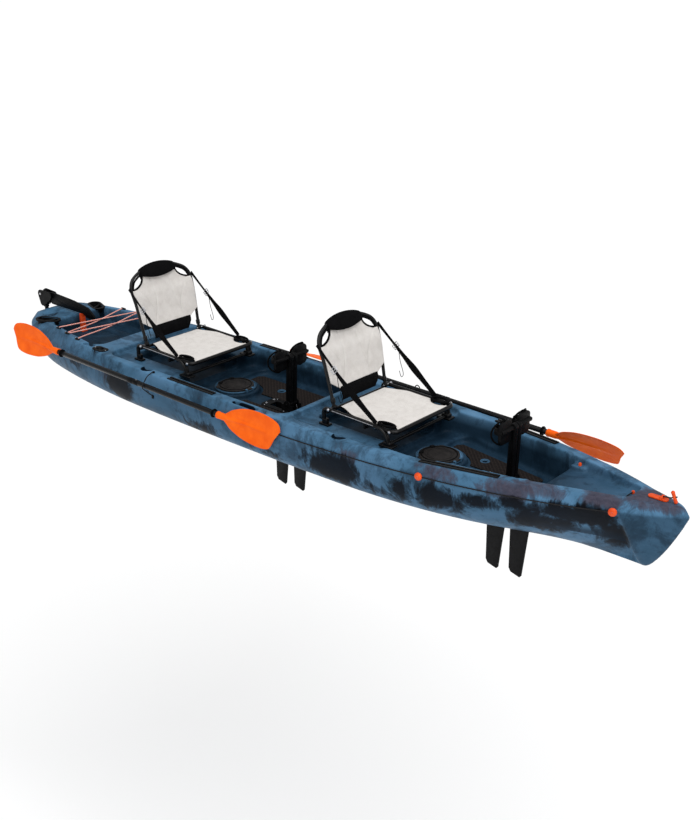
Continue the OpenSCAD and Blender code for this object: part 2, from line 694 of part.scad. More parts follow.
// Rudder: bracket bolted to the stern, pin, steering head, lifting blade and the rubber chock on deck
pin_x = stern_x - rudder_back;
lug_low = edge_z(stern_x) - 60;
lug_high = edge_z(stern_x) + 12;
lug_r = 13;
plate_w = 48;
plate_t = 6;
module rudder_bracket() {
  color(black) difference() {
    union() {
      translate([pin_x, 0, lug_low]) cylinder(h = lug_high - lug_low, r = lug_r);
      translate([pin_x, -lug_r + 2, lug_low])
        cube([rudder_back - plate_t / 2, 2 * lug_r - 4, lug_high - lug_low - 14]);
      translate([stern_x - plate_t, -plate_w / 2, lug_low])
        cube([plate_t, plate_w, lug_high - lug_low - 14]);
    }
    translate([pin_x, 0, lug_low - 5]) cylinder(h = lug_high - lug_low + 10, r = rudder_pin_r);
  }
}
head_low = lug_high + gap;
head_high = head_low + 46;
module rudder_pin() {
  color(silver) translate([pin_x, 0, 0]) {
    translate([0, 0, lug_low - 4]) cylinder(h = head_high - lug_low, r = rudder_pin_r);
    translate([0, 0, lug_low - 10]) cylinder(h = 6, r = rudder_pin_r + 4);
  }
}
cheek_t = 6;
cheek_y = rudder_t / 2 + gap;
lift_bolt_r = 6;
bolt_x = pin_x - 22;
module rudder_head() {
  color(black) difference() {
    union() {
      translate([pin_x, 0, head_low]) cylinder(h = head_high - head_low, r = lug_r);
      for (s = [-1, 1]) translate([0, s * (cheek_y + cheek_t / 2), 0]) rotate([90, 0, 0])
        linear_extrude(cheek_t, center = true) polygon([
          [pin_x - 13, head_low + 4], [pin_x + 12, head_low + 4], [pin_x + 12, head_high],
            [bolt_x + 22, rudder_z + 4],
          [bolt_x + 10, rudder_z + 20], [bolt_x - 10, rudder_z + 20], [bolt_x - 20, rudder_z + 6],
          [bolt_x - 18, rudder_z - 30]]);
    }
    translate([pin_x, 0, head_low - 5]) cylinder(h = head_high - head_low + 10, r = rudder_pin_r + run);
    cross_bar(bolt_x, -60, 60, rudder_z, lift_bolt_r + run);
  }
}
blade_lead = 15;
blade_up = 24;
blade_under = rudder_chord - blade_up;
blade_low = rudder_z - blade_under;
bolt_cap = 5;
blade_droop = 20;
module rudder_blade() {
  out = cheek_y + cheek_t + gap;
  color(black) union() {
    translate([bolt_x, 0, rudder_z]) rotate([90, 0, 0]) linear_extrude(rudder_t, center = true) union() {
      circle(blade_lead);
      polygon([
        [0, blade_lead], [60, blade_lead], [112, blade_up], [rudder_len - 210, blade_up - 11],
          [rudder_len - 62, -7],
        [rudder_len - 6, -blade_under + 8], [rudder_len, -blade_under - 4],
          [rudder_len - 18, -blade_under - blade_droop],
        [rudder_len - 78, -blade_under - blade_droop], [rudder_len - 115, -blade_under],
          [95, -blade_under], [60, -24],
        [0, -blade_lead]]);
    }
    cross_bar(bolt_x, -out - 1, out + 1, rudder_z, lift_bolt_r);
    cross_bar(bolt_x, out, out + bolt_cap, rudder_z, lift_bolt_r + 4);
    cross_bar(bolt_x, -out - bolt_cap, -out, rudder_z, lift_bolt_r + 4);
  }
}
chock_x = pin_x + 385;
chock_l = 24;
chock_w = 30;
chock_foot = 6;
function blade_sag(d) = blade_droop * clamp01((d - rudder_len + 115) / 37);
module rudder_chock() {
  color(orange) translate([chock_x, 0, tank_z]) union() {
    translate([-chock_l / 2, -chock_w / 2, 0]) cube([chock_l, chock_w,
      blade_low - blade_sag(chock_x + chock_l / 2 - bolt_x) - tank_z - gap]);
    translate([-chock_l / 2 - chock_foot, -chock_w / 2 - chock_foot, 0])
      cube([chock_l + 2 * chock_foot, chock_w + 2 * chock_foot, chock_foot]);
  }
}

// Seats. x is the pivot line of the back
pivot_up = 4;
back_set = 36;
rail_back = 80;
rail_y = seat_half_w;
post_y = seat_half_w - 2 * seat_tube_r - 2.5;
corner_up = 1.5;
foot_up = seat_tube_r + corner_up + gap;
foot_x = seat_depth - 40;
sling_drop = 34;
module seat_frame(x) {
  z = seat_rail_z;
  r = seat_tube_r;
  color(black) translate([x, 0, 0]) difference() {
    union() {
      for (s = [-1, 1]) {
        bar([-rail_back, s * rail_y, z], [seat_depth, s * rail_y, z - 8], r);
        translate([seat_depth, s * rail_y, z - 8]) sphere(r + corner_up);
        translate([-rail_back, s * rail_y, z]) sphere(r + corner_up);
        bar([-rail_back + 12, s * rail_y, z], [-rail_back + 6, s * rail_y, ledge_z + 10], r - 2);
        translate([-100, s * rail_y - 17, ledge_z + gap]) cube([64, 34, 12]);
        bar([seat_depth - 118, s * rail_y, z - 4], [foot_x, s * rail_y, ledge_z + foot_up], r - 1.5);
        translate([foot_x, s * rail_y, ledge_z + foot_up]) sphere(r + corner_up);
        bar([seat_depth / 2, s * rail_y, z - sling_drop], [seat_depth / 2, s * rail_y, z - 4], r - 4);
      }
      cross_bar(seat_depth, -rail_y, rail_y, z - 8, r - 1);
      cross_bar(seat_depth / 2, -rail_y, rail_y, z - sling_drop, r - 3);
      cross_bar(foot_x, -rail_y, rail_y, ledge_z + foot_up, r - 1);
      cross_bar(-rail_back + 20, -rail_y, rail_y, z - 20, r - 3);
    }
    for (s = [-1, 1]) cross_bar(-back_set, s * rail_y - 30, s * rail_y + 30,
      z + pivot_up, seat_pin_r + run);
  }
}
pan_in = 0.3;
pan_low = 7;
pan_t = 15;
pan_crown = 9;
module seat_pan(x) {
  w = rail_y - seat_tube_r - pan_in;
  x0 = -14;
  x1 = seat_depth - seat_tube_r + 1 - pan_in;
  function plan(u, v) = [mix(x0, x1, u), (2 * v - 1) * w * (1 - 0.05 * sin(180 * u))];
  function swell(u, v) = pow(sin(180 * mix(0.04, 0.96, u)), 0.4) * pow(sin(180 * mix(0.04, 0.96, v)), 0.4);
  color(cream) translate([x, 0, seat_rail_z]) slab(12, 10,
    function(u, v) concat(plan(u, v), [pan_low - 4 + pan_crown * swell(u, v) - 8 * u - 6 * sin(180 * u) *
      sin(180 * v)]),
    function(u, v) concat(plan(u, v), [pan_low - pan_t * swell(u, v) - 8 * u - 6 * sin(180 * u) *
      sin(180 * v)]));
}
// The back stands in its own plane: a across the boat, h up along the lean, d out of its front face
function splay(h) = 0.96 + 0.00034 * h;
// The posts bend aft above the lumbar
bend_h = 230;
bend_back = 40;
function bend(h) = bend_back * pow(clamp01((h - bend_h) / (back_h + 15 - bend_h)), 1.5);
function back_point(x, a, h, d) = [
  x - back_set - bend(h) - sin(back_lean) * h + cos(back_lean) * d,
  a * splay(h),
  seat_rail_z + pivot_up + cos(back_lean) * h + sin(back_lean) * d];
// The arch turns through a tight corner arc on each side and one wide arc across the top
corner_r = 90;
corner_turn = 60;
top_r = corner_r + (post_y - corner_r) / cos(corner_turn);
corner_h = back_h - top_r - (corner_r - top_r) * sin(corner_turn);
top_h = back_h - top_r;
function arch_h(a) = abs(a) > top_r * sin(90 - corner_turn)
  ? corner_h + sqrt(max(0, corner_r * corner_r - pow(abs(a) - post_y + corner_r, 2)))
  : top_h + sqrt(top_r * top_r - a * a);
post_from = 8;
post_r = seat_tube_r - 2;
corner_steps = 5;
top_steps = 6;
HALF_ARCH = concat(
  [[post_y, post_from], for (i = [0 : 3]) [post_y, mix(bend_h, corner_h, i / 4)]],
  [for (i = [0 : corner_steps]) let (t = corner_turn * i / corner_steps)
    [post_y - corner_r + corner_r * cos(t), corner_h + corner_r * sin(t)]],
  [for (i = [1 : top_steps]) let (t = mix(corner_turn, 90, i / top_steps))
    [top_r * cos(t), top_h + top_r * sin(t)]]);
ARCH = concat(HALF_ARCH, [for (i = [len(HALF_ARCH) - 2 : -1 : 0]) [-HALF_ARCH[i][0], HALF_ARCH[i][1]]]);
eye_r = 14;
foot_y = post_y * splay(0);
module seat_back_frame(x) {
  z = seat_rail_z + pivot_up;
  color(black) difference() {
    union() {
      tube([for (p = ARCH) back_point(x, p[0], p[1], 0)], post_r, 10);
      for (s = [-1, 1]) cross_bar(x - back_set, s * foot_y - post_r - 2, s * foot_y + post_r + 2, z, eye_r);
    }
    for (s = [-1, 1]) cross_bar(x - back_set, s * foot_y - 40, s * foot_y + 40, z, seat_pin_r + run);
  }
}
panel_t = 10;
panel_low = 0.2;
panel_high = 0.905;
panel_in = post_y - post_r - 0.8;
function panel_w(h) = panel_in * mix(0.72, 1, ease(0, 0.2, h)) * (1 - 0.42 * ease(0.74, 1, h));
function panel_bow(u, v) = -16 * sin(180 * u) * sin(180 * v);
module seat_back_panel(x) {
  function face(u, v, d) = back_point(x, (2 * u - 1) * panel_w(v), back_h * mix(panel_low, panel_high, v),
    d + panel_bow(u, v));
  color(cream) slab(12, 12, function(u, v) face(u, v, panel_t / 2), function(u, v)
    face(u, v, -panel_t / 2));
}
pad_w = 0.56;
pad_back = panel_t / 2 + 1;
module seat_head_pad(x) {
  function face(u, v, d) = let (a = (2 * u - 1), y = a * post_y * pad_w)
    back_point(x, y, mix(back_h * (0.85 + 0.05 * a * a), back_h - 2 - 26 * pow(abs(a), 3), v),
      d + 9 * pow(sin(180 * mix(0.05, 0.95, u)) * sin(180 * mix(0.05, 0.95, v)), 0.5) *
        (d > pad_back ? 1 : 0));
  color(black) slab(8, 5, function(u, v) face(u, v, post_r + 6), function(u, v) face(u, v, post_r - 2.6));
}
strap_t = 2.4;
module seat_strap(x, s) {
  a = back_point(x, s * (post_y + post_r - 3.5), back_h * 0.78, 0);
  b = [x + seat_depth - 118, s * (rail_y + 2), seat_rail_z + seat_tube_r + 2.6];
  out = [0, s, 0];
  up = unit(cross(unit(b - a), out));
  function at(t) = mix(a, b, t) + [0, s * 5 * sin(180 * t), -7 * sin(180 * t)];
  function wide(t) = strap_w * (t < 0.15 ? 0.6 : t > 0.85 ? 0.6 : 1) / 2;
  slab(8, 1,
    function(u, v) at(u) + up * wide(u) * (1 - 2 * v) + out * strap_t,
    function(u, v) at(u) + up * wide(u) * (1 - 2 * v));
}
module seat_straps(x) {
  color(black) for (s = [-1, 1]) seat_strap(x, s);
}
module seat_hardware(x) {
  color(silver) for (s = [-1, 1]) {
    y0 = s > 0 ? foot_y - post_r - 6 : -rail_y - seat_tube_r - 4;
    y1 = s > 0 ? rail_y + seat_tube_r + 4 : -foot_y + post_r + 6;
    cross_bar(x - back_set, y0, y1, seat_rail_z + pivot_up, seat_pin_r);
    cap = s * (rail_y + seat_tube_r);
    for (p = [[-back_set, pivot_up], [seat_depth - 118, -4], [seat_depth - 26, -7]])
      cross_bar(x + p[0], min(cap, cap + s * 7) + (s > 0 ? 1 : -1) * 0.5, max(cap, cap + s * 7),
        seat_rail_z + p[1], 8);
  }
}

// Pedal drives. x is the crank axle line
flange_t = 10;
cheek_in = 31;
cheek_w = 7;
base_x = [-150, 130];
hanger_x = [base_x[0], -18, base_x[1] - 10];
hanger_t = 10;
arm_y = [3, 27];
arm_w = 34;
hub_r = 22;
fin_hub_r = 12;
module drive_base(x) {
  color(black) translate([x, 0, 0]) difference() {
    union() {
      difference() {
        translate([(base_x[0] + base_x[1]) / 2, 0, floor_z + 0.01])
          rounded_plate(base_x[1] - base_x[0] + 84, 2 * trunk_w + 34, flange_t, 26);
        translate([base_x[0] + 8, -cheek_in, floor_z - 5])
          cube([base_x[1] - base_x[0] - 16, 2 * cheek_in, 40]);
      }
      for (s = [-1, 1]) {
        y0 = s > 0 ? cheek_in : -cheek_in - cheek_w;
        translate([base_x[0], y0, fin_axis_z + 14])
          cube([base_x[1] - base_x[0], cheek_w, floor_z + flange_t - fin_axis_z - 14]);
        translate([0, y0 + cheek_w / 2, 0]) rotate([90, 0, 0]) linear_extrude(cheek_w, center = true)
          union() {
          translate([0, crank_z]) circle(24);
          translate([-40, floor_z]) square([80, crank_z - floor_z]);
        }
      }
      for (h = hanger_x) {
        translate([h, -cheek_in - 1, fin_axis_z + 14]) cube([hanger_t, 2 * cheek_in + 2, 26]);
        translate([h, -9, fin_axis_z]) cube([hanger_t, 18, 20]);
        long_bar(h, h + hanger_t, 0, fin_axis_z, 9);
      }
      cross_bar(0, -cheek_in - cheek_w - 6, cheek_in + cheek_w + 6, crank_z, crank_axle_r);
      long_bar(base_x[0] - 3, base_x[1] + 3, 0, fin_axis_z, fin_rod_r);
    }
  }
}
arm_lean = 2;
pedal_z = crank_z + crank_len * cos(arm_lean);
pedal_dx = crank_len * sin(arm_lean);
arm_end = 1.5;
module drive_arm(x, s) {
  y0 = s > 0 ? arm_y[0] : -arm_y[1];
  t = arm_y[1] - arm_y[0];
  reach = pedal_w + 14;
  color(black) union() {
    translate([0, y0 + t, 0]) rotate([90, 0, 0]) linear_extrude(t) difference() {
      union() {
        translate([x, crank_z]) circle(hub_r);
        translate([x, crank_z]) rotate(-arm_lean) translate([-arm_w / 2, 0]) square([arm_w, crank_len]);
        translate([x + pedal_dx, pedal_z]) circle(arm_w / 2 + arm_end);
      }
      translate([x, crank_z]) circle(crank_axle_r + run);
    }
    cross_bar(x + pedal_dx, s > 0 ? arm_y[1] - 2 : -arm_y[1] - reach,
      s > 0 ? arm_y[1] + reach : -arm_y[1] + 2, pedal_z, pedal_axle_r);
  }
}
sole_t = 16;
pedal_gap = 4;
module drive_pedal(x, s) {
  y0 = s > 0 ? arm_y[1] + pedal_gap : -arm_y[1] - pedal_gap - pedal_w;
  up = pedal_h * 0.42;
  color(black) translate([x + pedal_dx, 0, pedal_z]) difference() {
    union() {
      translate([-pedal_axle_r - sole_t + 4, y0 + pedal_w / 2, up - pedal_h / 2]) rotate([90, 0, 90])
        linear_extrude(sole_t) hull_2d(pedal_w, pedal_h, 24);
      cross_bar(0, y0, y0 + pedal_w, 0, pedal_axle_r + 6);
      translate([-pedal_axle_r - sole_t + 5, y0 + pedal_w / 2, -4]) rotate([-6, 0, 0]) difference() {
        translate([0, 0, -17]) cylinder(h = 34, r = pedal_w / 2);
        translate([0, 0, -18]) cylinder(h = 36, r = pedal_w / 2 - 3.5);
        translate([0, -pedal_w, -40]) cube([pedal_w, 2 * pedal_w, 80]);
      }
      for (i = [-3 : 3]) translate([-pedal_axle_r - sole_t + 2, y0 + pedal_w / 2 + i * 11 - 2, up -
        pedal_h + 22])
        cube([4, 4, pedal_h - 44]);
    }
    cross_bar(0, y0 - 1, y0 + pedal_w + 1, 0, pedal_axle_r + run);
  }
}
fin_t = 9;
fin_rake = 34;
// Fins hang in line on one rod, fore and aft of the middle hanger
function fin_hub(e) = e > 0 ? [hanger_x[1] + hanger_t + 1, hanger_x[2] - 1] :
  [hanger_x[0] + hanger_t + 1, hanger_x[1] - 1];
module drive_fin(x, e) {
  h = fin_hub(e);
  lead = h[1] - 4;
  color(black) difference() {
    union() {
      long_bar(x + h[0], x + h[1], 0, fin_axis_z, fin_hub_r);
      translate([x, 0, fin_axis_z]) rotate([90, 0, 0]) linear_extrude(fin_t, center = true) polygon([
        [lead, 0], [lead + 2, -60], [lead - fin_rake + 8, -fin_span + 10], [lead - fin_rake, -fin_span],
        [lead - fin_rake - fin_tip + 12, -fin_span + 14], [lead - fin_rake - fin_tip, -fin_span + 34],
        [lead - fin_root, -70], [lead - fin_root, 0]]);
    }
    long_bar(x + h[0] - 1, x + h[1] + 1, 0, fin_axis_z, fin_rod_r + run);
  }
}
// Clamp levers, bolts and the two pull cables of a drive
cable_r = 2;
module drive_clamps(x) {
  color(silver) {
    for (e = [-1, 1]) for (s = [-1, 1]) translate([x + (e > 0 ? base_x[1] + 16 : base_x[0] - 16), s * 30,
      floor_z + flange_t + 0.01])
      union() {
        cylinder(h = 5, r = 8);
        translate([0, 0, 5]) cylinder(h = 4, r = 4.5, $fn = 6);
      }
    for (s = [-1, 1]) bar([x + s * (hub_r + 1.6), s * 15, crank_z - 6], [x + s * 54, s * 15, fin_axis_z + 6],
      cable_r);
  }
}

// Paddles: [side, aft tip, direction towards the fore tip]
paddle_in = beam / 2 + shaft_r + gap;
PADDLE_TIP = [[-2030, -(paddle_in + 25), 284], [-470, paddle_in + 44, 292]];
PADDLE_HEAD = [[270, -(paddle_in + 5), 228], [1810, paddle_in - 78, 320]];
function paddle_i(s) = s < 0 ? 0 : 1;
function paddle_dir(s) = unit(PADDLE_HEAD[paddle_i(s)] - PADDLE_TIP[paddle_i(s)]);
function paddle_at(s, x) = let (i = paddle_i(s), d = paddle_dir(s)) PADDLE_TIP[i] + d *
  (x - PADDLE_TIP[i][0]) / d[0];
blade_tilt = 11;
aft_turn = 75;
fore_turn = 44;
tip_slant = 50;
blade_neck = 52;
socket_len = 40;
neck_len = 60;
module paddle_place(s) {
  d = paddle_dir(s);
  translate(PADDLE_TIP[paddle_i(s)]) rotate([0, -asin(d[2]), atan2(d[1], d[0])]) children();
}
module paddle_shaft(s) {
  color(black) paddle_place(s) translate([blade_len - socket_len, 0, 0]) rotate([0, 90, 0])
    cylinder(h = paddle_len - 2 * (blade_len - socket_len), r = shaft_r);
}
blade_t = 7;
// One blade with its tip at the origin, its neck along +X
module paddle_blade() {
  flat = blade_len - blade_neck;
  function half_w(u) = blade_w / 2 * lookup(u, [[0, 0.58], [0.08, 0.84], [0.16, 0.93], [0.25, 0.98],
    [0.34, 1], [0.5, 0.97], [0.66, 0.87], [0.81, 0.66], [0.88, 0.52], [0.94, 0.34], [1, 0.17]]);
  function face(u, v, k) = [flat * u + 2 + tip_slant * (1 - v) * pow(1 - u, 3),
    (2 * v - 1) * half_w(u) + 6 * sin(180 * u),
    k * blade_t / 2 * (1 + 1.2 * u * (1 - abs(2 * v - 1))) - 9 * sin(180 * clamp01(u)) *
      (1 - pow(2 * v - 1, 2)) + 4];
  union() {
    slab(12, 6, function(u, v) face(u, v, 1), function(u, v) face(u, v, -1));
    translate([flat - 60, 0, 0]) rotate([0, 90, 0]) difference() {
      union() {
        cylinder(h = neck_len, r1 = 8, r2 = shaft_r + 4);
        translate([0, 0, neck_len]) cylinder(h = blade_len - flat + 60 - neck_len, r = shaft_r + 4);
      }
      translate([0, 0, blade_len - socket_len - flat + 60]) cylinder(h = socket_len + 1, r = shaft_r + 0.1);
    }
  }
}
module paddle_blades(s) {
  color(orange) paddle_place(s) {
    rotate([90 - blade_tilt + (s > 0 ? aft_turn : 0), 0, 0]) paddle_blade();
    translate([paddle_len, 0, 0]) rotate([90 - blade_tilt + (s > 0 ? fore_turn : 0), 0, 0]) mirror([1, 0, 0])
      paddle_blade();
  }
}
ring_from = 22;
module paddle_rings(s) {
  color(black) paddle_place(s) for (x = [blade_len + ring_from, paddle_len - blade_len - ring_from - 16])
    translate([x, 0, 0]) rotate([0, 90, 0]) difference() {
      union() {
        cylinder(h = 16, r = shaft_r + 3);
        translate([0, 0, 5]) cylinder(h = 6, r = shaft_r + 9.5);
      }
      translate([0, 0, -1]) cylinder(h = 20, r = shaft_r + 0.1);
    }
}

hull_length(0);  // hull_stern
hull_length(1);  // hull_rear
hull_length(2);  // hull_front
hull_length(3);  // hull_bow
hatch_rings();
hatch_lid(seat_rear_x);  // hatch_lid_rear
hatch_lid(seat_front_x);  // hatch_lid_front
deck_pads();
gear_tracks();
rod_holders();
stern_handles();
deck_fittings();
deck_line();
stern_bungee();
bungee_anchors();
bow_toggle();
bow_toggle_cord();
paddle_bungees();
paddle_hooks();
rudder_bracket();
rudder_pin();
rudder_head();
rudder_blade();
rudder_chock();
for (e = ["rear", "front"]) {
  x = e == "rear" ? seat_rear_x : seat_front_x;
  seat_frame(x);
  seat_pan(x);
  seat_back_frame(x);
  seat_back_panel(x);
  seat_head_pad(x);
  seat_straps(x);
  seat_hardware(x);
}
for (e = ["rear", "front"]) {
  x = e == "rear" ? drive_rear_x : drive_front_x;
  drive_base(x);
  for (s = [-1, 1]) drive_arm(x, s);
  for (s = [-1, 1]) drive_pedal(x, s);
  drive_fin(x, 1);
  drive_fin(x, -1);
  drive_clamps(x);
}
for (s = [-1, 1]) {
  paddle_shaft(s);
  paddle_blades(s);
  paddle_rings(s);
}
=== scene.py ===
"""Tandem pedal kayak: the detailed look of each piece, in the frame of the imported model."""

import json
from math import atan2, cos, degrees, exp, pi, radians, sin, sqrt, tan

import bmesh
import bpy
import numpy as np
from mathutils import Vector
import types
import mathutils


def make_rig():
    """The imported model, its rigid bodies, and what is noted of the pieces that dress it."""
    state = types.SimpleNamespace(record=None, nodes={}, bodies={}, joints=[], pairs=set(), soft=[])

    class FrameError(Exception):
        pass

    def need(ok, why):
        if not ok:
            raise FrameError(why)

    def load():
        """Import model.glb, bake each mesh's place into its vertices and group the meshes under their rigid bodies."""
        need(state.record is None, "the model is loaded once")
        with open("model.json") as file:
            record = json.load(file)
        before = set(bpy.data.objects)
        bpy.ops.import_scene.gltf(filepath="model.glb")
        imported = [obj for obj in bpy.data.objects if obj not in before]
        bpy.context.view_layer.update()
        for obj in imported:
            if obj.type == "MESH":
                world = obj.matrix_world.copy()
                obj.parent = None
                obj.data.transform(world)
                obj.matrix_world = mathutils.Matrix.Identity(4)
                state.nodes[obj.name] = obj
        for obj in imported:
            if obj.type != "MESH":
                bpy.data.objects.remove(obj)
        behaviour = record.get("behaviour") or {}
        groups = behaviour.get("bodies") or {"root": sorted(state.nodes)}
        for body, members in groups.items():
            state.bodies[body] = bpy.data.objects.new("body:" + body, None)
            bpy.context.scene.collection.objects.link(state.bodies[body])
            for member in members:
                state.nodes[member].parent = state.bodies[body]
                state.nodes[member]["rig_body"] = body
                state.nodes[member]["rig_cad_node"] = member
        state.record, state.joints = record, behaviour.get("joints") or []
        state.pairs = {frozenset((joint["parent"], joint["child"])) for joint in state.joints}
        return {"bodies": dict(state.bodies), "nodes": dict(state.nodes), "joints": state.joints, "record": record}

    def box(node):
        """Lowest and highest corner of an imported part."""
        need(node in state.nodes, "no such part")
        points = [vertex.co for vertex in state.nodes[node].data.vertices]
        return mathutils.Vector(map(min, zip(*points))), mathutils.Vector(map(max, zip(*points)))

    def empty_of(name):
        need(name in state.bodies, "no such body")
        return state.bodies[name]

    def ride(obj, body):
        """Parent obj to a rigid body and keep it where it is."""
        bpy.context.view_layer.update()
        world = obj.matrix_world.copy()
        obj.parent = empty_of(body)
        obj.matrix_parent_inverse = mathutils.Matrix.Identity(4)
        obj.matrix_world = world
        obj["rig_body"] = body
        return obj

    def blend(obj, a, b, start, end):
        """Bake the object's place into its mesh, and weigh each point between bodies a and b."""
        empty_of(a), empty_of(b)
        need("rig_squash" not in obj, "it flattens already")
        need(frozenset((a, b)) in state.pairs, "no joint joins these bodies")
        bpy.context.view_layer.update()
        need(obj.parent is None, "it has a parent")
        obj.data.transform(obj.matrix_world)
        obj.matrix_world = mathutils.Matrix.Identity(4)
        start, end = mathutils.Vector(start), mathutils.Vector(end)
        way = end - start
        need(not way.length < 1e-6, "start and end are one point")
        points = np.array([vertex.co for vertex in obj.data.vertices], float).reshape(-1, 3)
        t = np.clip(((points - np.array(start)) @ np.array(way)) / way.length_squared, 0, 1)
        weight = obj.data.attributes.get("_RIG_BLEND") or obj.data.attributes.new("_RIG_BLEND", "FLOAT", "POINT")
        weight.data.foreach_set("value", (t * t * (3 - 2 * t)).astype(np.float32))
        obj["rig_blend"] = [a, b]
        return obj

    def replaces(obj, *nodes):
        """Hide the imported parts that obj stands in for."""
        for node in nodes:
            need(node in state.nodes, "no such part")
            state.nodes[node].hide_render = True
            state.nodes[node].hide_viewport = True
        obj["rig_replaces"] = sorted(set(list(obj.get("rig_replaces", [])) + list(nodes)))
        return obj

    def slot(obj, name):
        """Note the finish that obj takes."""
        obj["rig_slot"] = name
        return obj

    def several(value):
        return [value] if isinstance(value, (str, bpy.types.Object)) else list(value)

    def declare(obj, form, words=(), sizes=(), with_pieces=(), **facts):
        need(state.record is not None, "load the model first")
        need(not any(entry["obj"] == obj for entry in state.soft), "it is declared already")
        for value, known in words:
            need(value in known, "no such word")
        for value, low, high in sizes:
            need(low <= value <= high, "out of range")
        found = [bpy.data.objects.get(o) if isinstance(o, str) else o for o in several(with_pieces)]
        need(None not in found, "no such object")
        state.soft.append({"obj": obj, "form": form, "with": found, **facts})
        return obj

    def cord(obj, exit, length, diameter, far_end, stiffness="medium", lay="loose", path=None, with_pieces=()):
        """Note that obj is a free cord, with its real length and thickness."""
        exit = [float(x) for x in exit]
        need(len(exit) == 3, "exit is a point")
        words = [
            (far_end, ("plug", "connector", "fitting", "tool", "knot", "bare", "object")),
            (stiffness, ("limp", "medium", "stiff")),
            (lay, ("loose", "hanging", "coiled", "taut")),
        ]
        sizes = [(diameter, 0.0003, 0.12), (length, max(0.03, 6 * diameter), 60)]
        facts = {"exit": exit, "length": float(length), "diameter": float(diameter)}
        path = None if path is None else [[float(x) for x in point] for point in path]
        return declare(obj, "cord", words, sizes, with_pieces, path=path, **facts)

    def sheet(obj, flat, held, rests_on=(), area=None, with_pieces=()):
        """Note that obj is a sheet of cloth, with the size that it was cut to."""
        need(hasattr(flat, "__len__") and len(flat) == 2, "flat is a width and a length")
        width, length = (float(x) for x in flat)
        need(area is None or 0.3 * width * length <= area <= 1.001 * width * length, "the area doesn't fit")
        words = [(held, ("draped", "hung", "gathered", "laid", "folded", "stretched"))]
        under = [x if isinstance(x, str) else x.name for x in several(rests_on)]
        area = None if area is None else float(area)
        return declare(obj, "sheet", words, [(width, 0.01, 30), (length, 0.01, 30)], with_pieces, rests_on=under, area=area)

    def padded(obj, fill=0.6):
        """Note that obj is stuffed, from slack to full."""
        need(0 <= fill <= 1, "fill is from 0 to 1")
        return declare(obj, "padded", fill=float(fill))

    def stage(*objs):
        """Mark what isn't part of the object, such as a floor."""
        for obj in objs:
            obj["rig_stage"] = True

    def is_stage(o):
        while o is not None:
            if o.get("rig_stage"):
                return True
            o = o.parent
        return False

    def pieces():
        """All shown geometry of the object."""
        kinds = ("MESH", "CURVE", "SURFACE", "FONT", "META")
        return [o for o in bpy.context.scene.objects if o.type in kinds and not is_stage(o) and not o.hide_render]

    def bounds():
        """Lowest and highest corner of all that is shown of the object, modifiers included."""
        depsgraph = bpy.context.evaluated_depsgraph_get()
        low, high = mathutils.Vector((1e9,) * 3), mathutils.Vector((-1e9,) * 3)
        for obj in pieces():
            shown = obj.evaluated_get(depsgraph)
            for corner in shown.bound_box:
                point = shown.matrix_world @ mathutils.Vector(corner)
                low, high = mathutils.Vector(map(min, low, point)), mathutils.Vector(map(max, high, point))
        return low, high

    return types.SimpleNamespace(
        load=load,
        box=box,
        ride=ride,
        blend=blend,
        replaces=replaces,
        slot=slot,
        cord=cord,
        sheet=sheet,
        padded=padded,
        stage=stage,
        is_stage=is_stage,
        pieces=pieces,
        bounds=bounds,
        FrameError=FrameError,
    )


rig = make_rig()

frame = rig.load()
CAD_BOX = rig.bounds()
NODES = frame["nodes"]
BODY_OF = {n: b for b, ns in frame["record"]["behaviour"]["bodies"].items() for n in ns}

# Hull lines, in millimetres, as in the CAD source
STERN_X, BOW_X, MID_X, BEAM = -2285.0, 2325.0, -100.0, 822.0
SEATS = {"rear": -995.0, "front": 480.0}
DRIVES = {"rear": -60.0, "front": 1405.0}
HATCHES = {end: x + 490 for end, x in SEATS.items()}
LEDGE_Z, PLATFORM_Z, FLOOR_Z, TANK_Z = 286.0, 190.0, 160.0, 214.0
CUPS, CUP_IN = (SEATS["rear"] + 132, SEATS["front"] + 120), 47
POCKET_X, ROD_X, ROD_IN = DRIVES["rear"] + 15, SEATS["rear"] - 329, 34
SCUPPERS, TANK_SCUPPER_X = ((-295, 165), (-295, -165), (1147, 150), (1147, -150)), -1840
HANDLE_X, HANDLE_Y, HANDLE_YAW = -2022, 192, 20
# Gear tracks: middle and length of each, and how far in from the gunwale's edge they lie
TRACKS, TRACK_IN = ((-470, 370), (1295, 410)), 27


def mix(a, b, t):
    return a + (b - a) * t


def clamp01(t):
    return min(1.0, max(0.0, t))


def ease(a, b, x):
    t = clamp01((x - a) / (b - a))
    return t * t * (3 - 2 * t)


def bow_t(x):
    return clamp01((x - MID_X) / (BOW_X - MID_X))


def stern_t(x):
    return clamp01((MID_X - x) / (MID_X - STERN_X))


def crease_y(x):
    if x >= MID_X:
        return BEAM / 2 * (1 - min(bow_t(x), 0.9975) ** 3) ** 0.9
    return BEAM / 2 * (1 - min(stern_t(x), 0.9975) ** 3) ** 0.33


def crease_z(x):
    return 235 + 75 * bow_t(x) ** 1.6 + 35 * stern_t(x) ** 2


def band_in(x):
    if x > MID_X:
        return mix(14, 32, ease(0.4, 0.8, bow_t(x)))
    return mix(14, 62, ease(0.4, 0.85, stern_t(x)))


def edge_y(x):
    return crease_y(x) - min(band_in(x), 0.28 * crease_y(x))


def edge_z(x):
    nose = clamp01((x - BOW_X + 60) / 60)
    tail = clamp01((STERN_X + 110 - x) / 110)
    rise = 36 * ease(0.3, 0.95, bow_t(x)) + 10 * stern_t(x) ** 2
    return 312 + rise - 38 * nose ** 2 - 38 * tail ** 2


def deck_z(x, y):
    return edge_z(x) + 4 * (1 - abs(y) / edge_y(x))


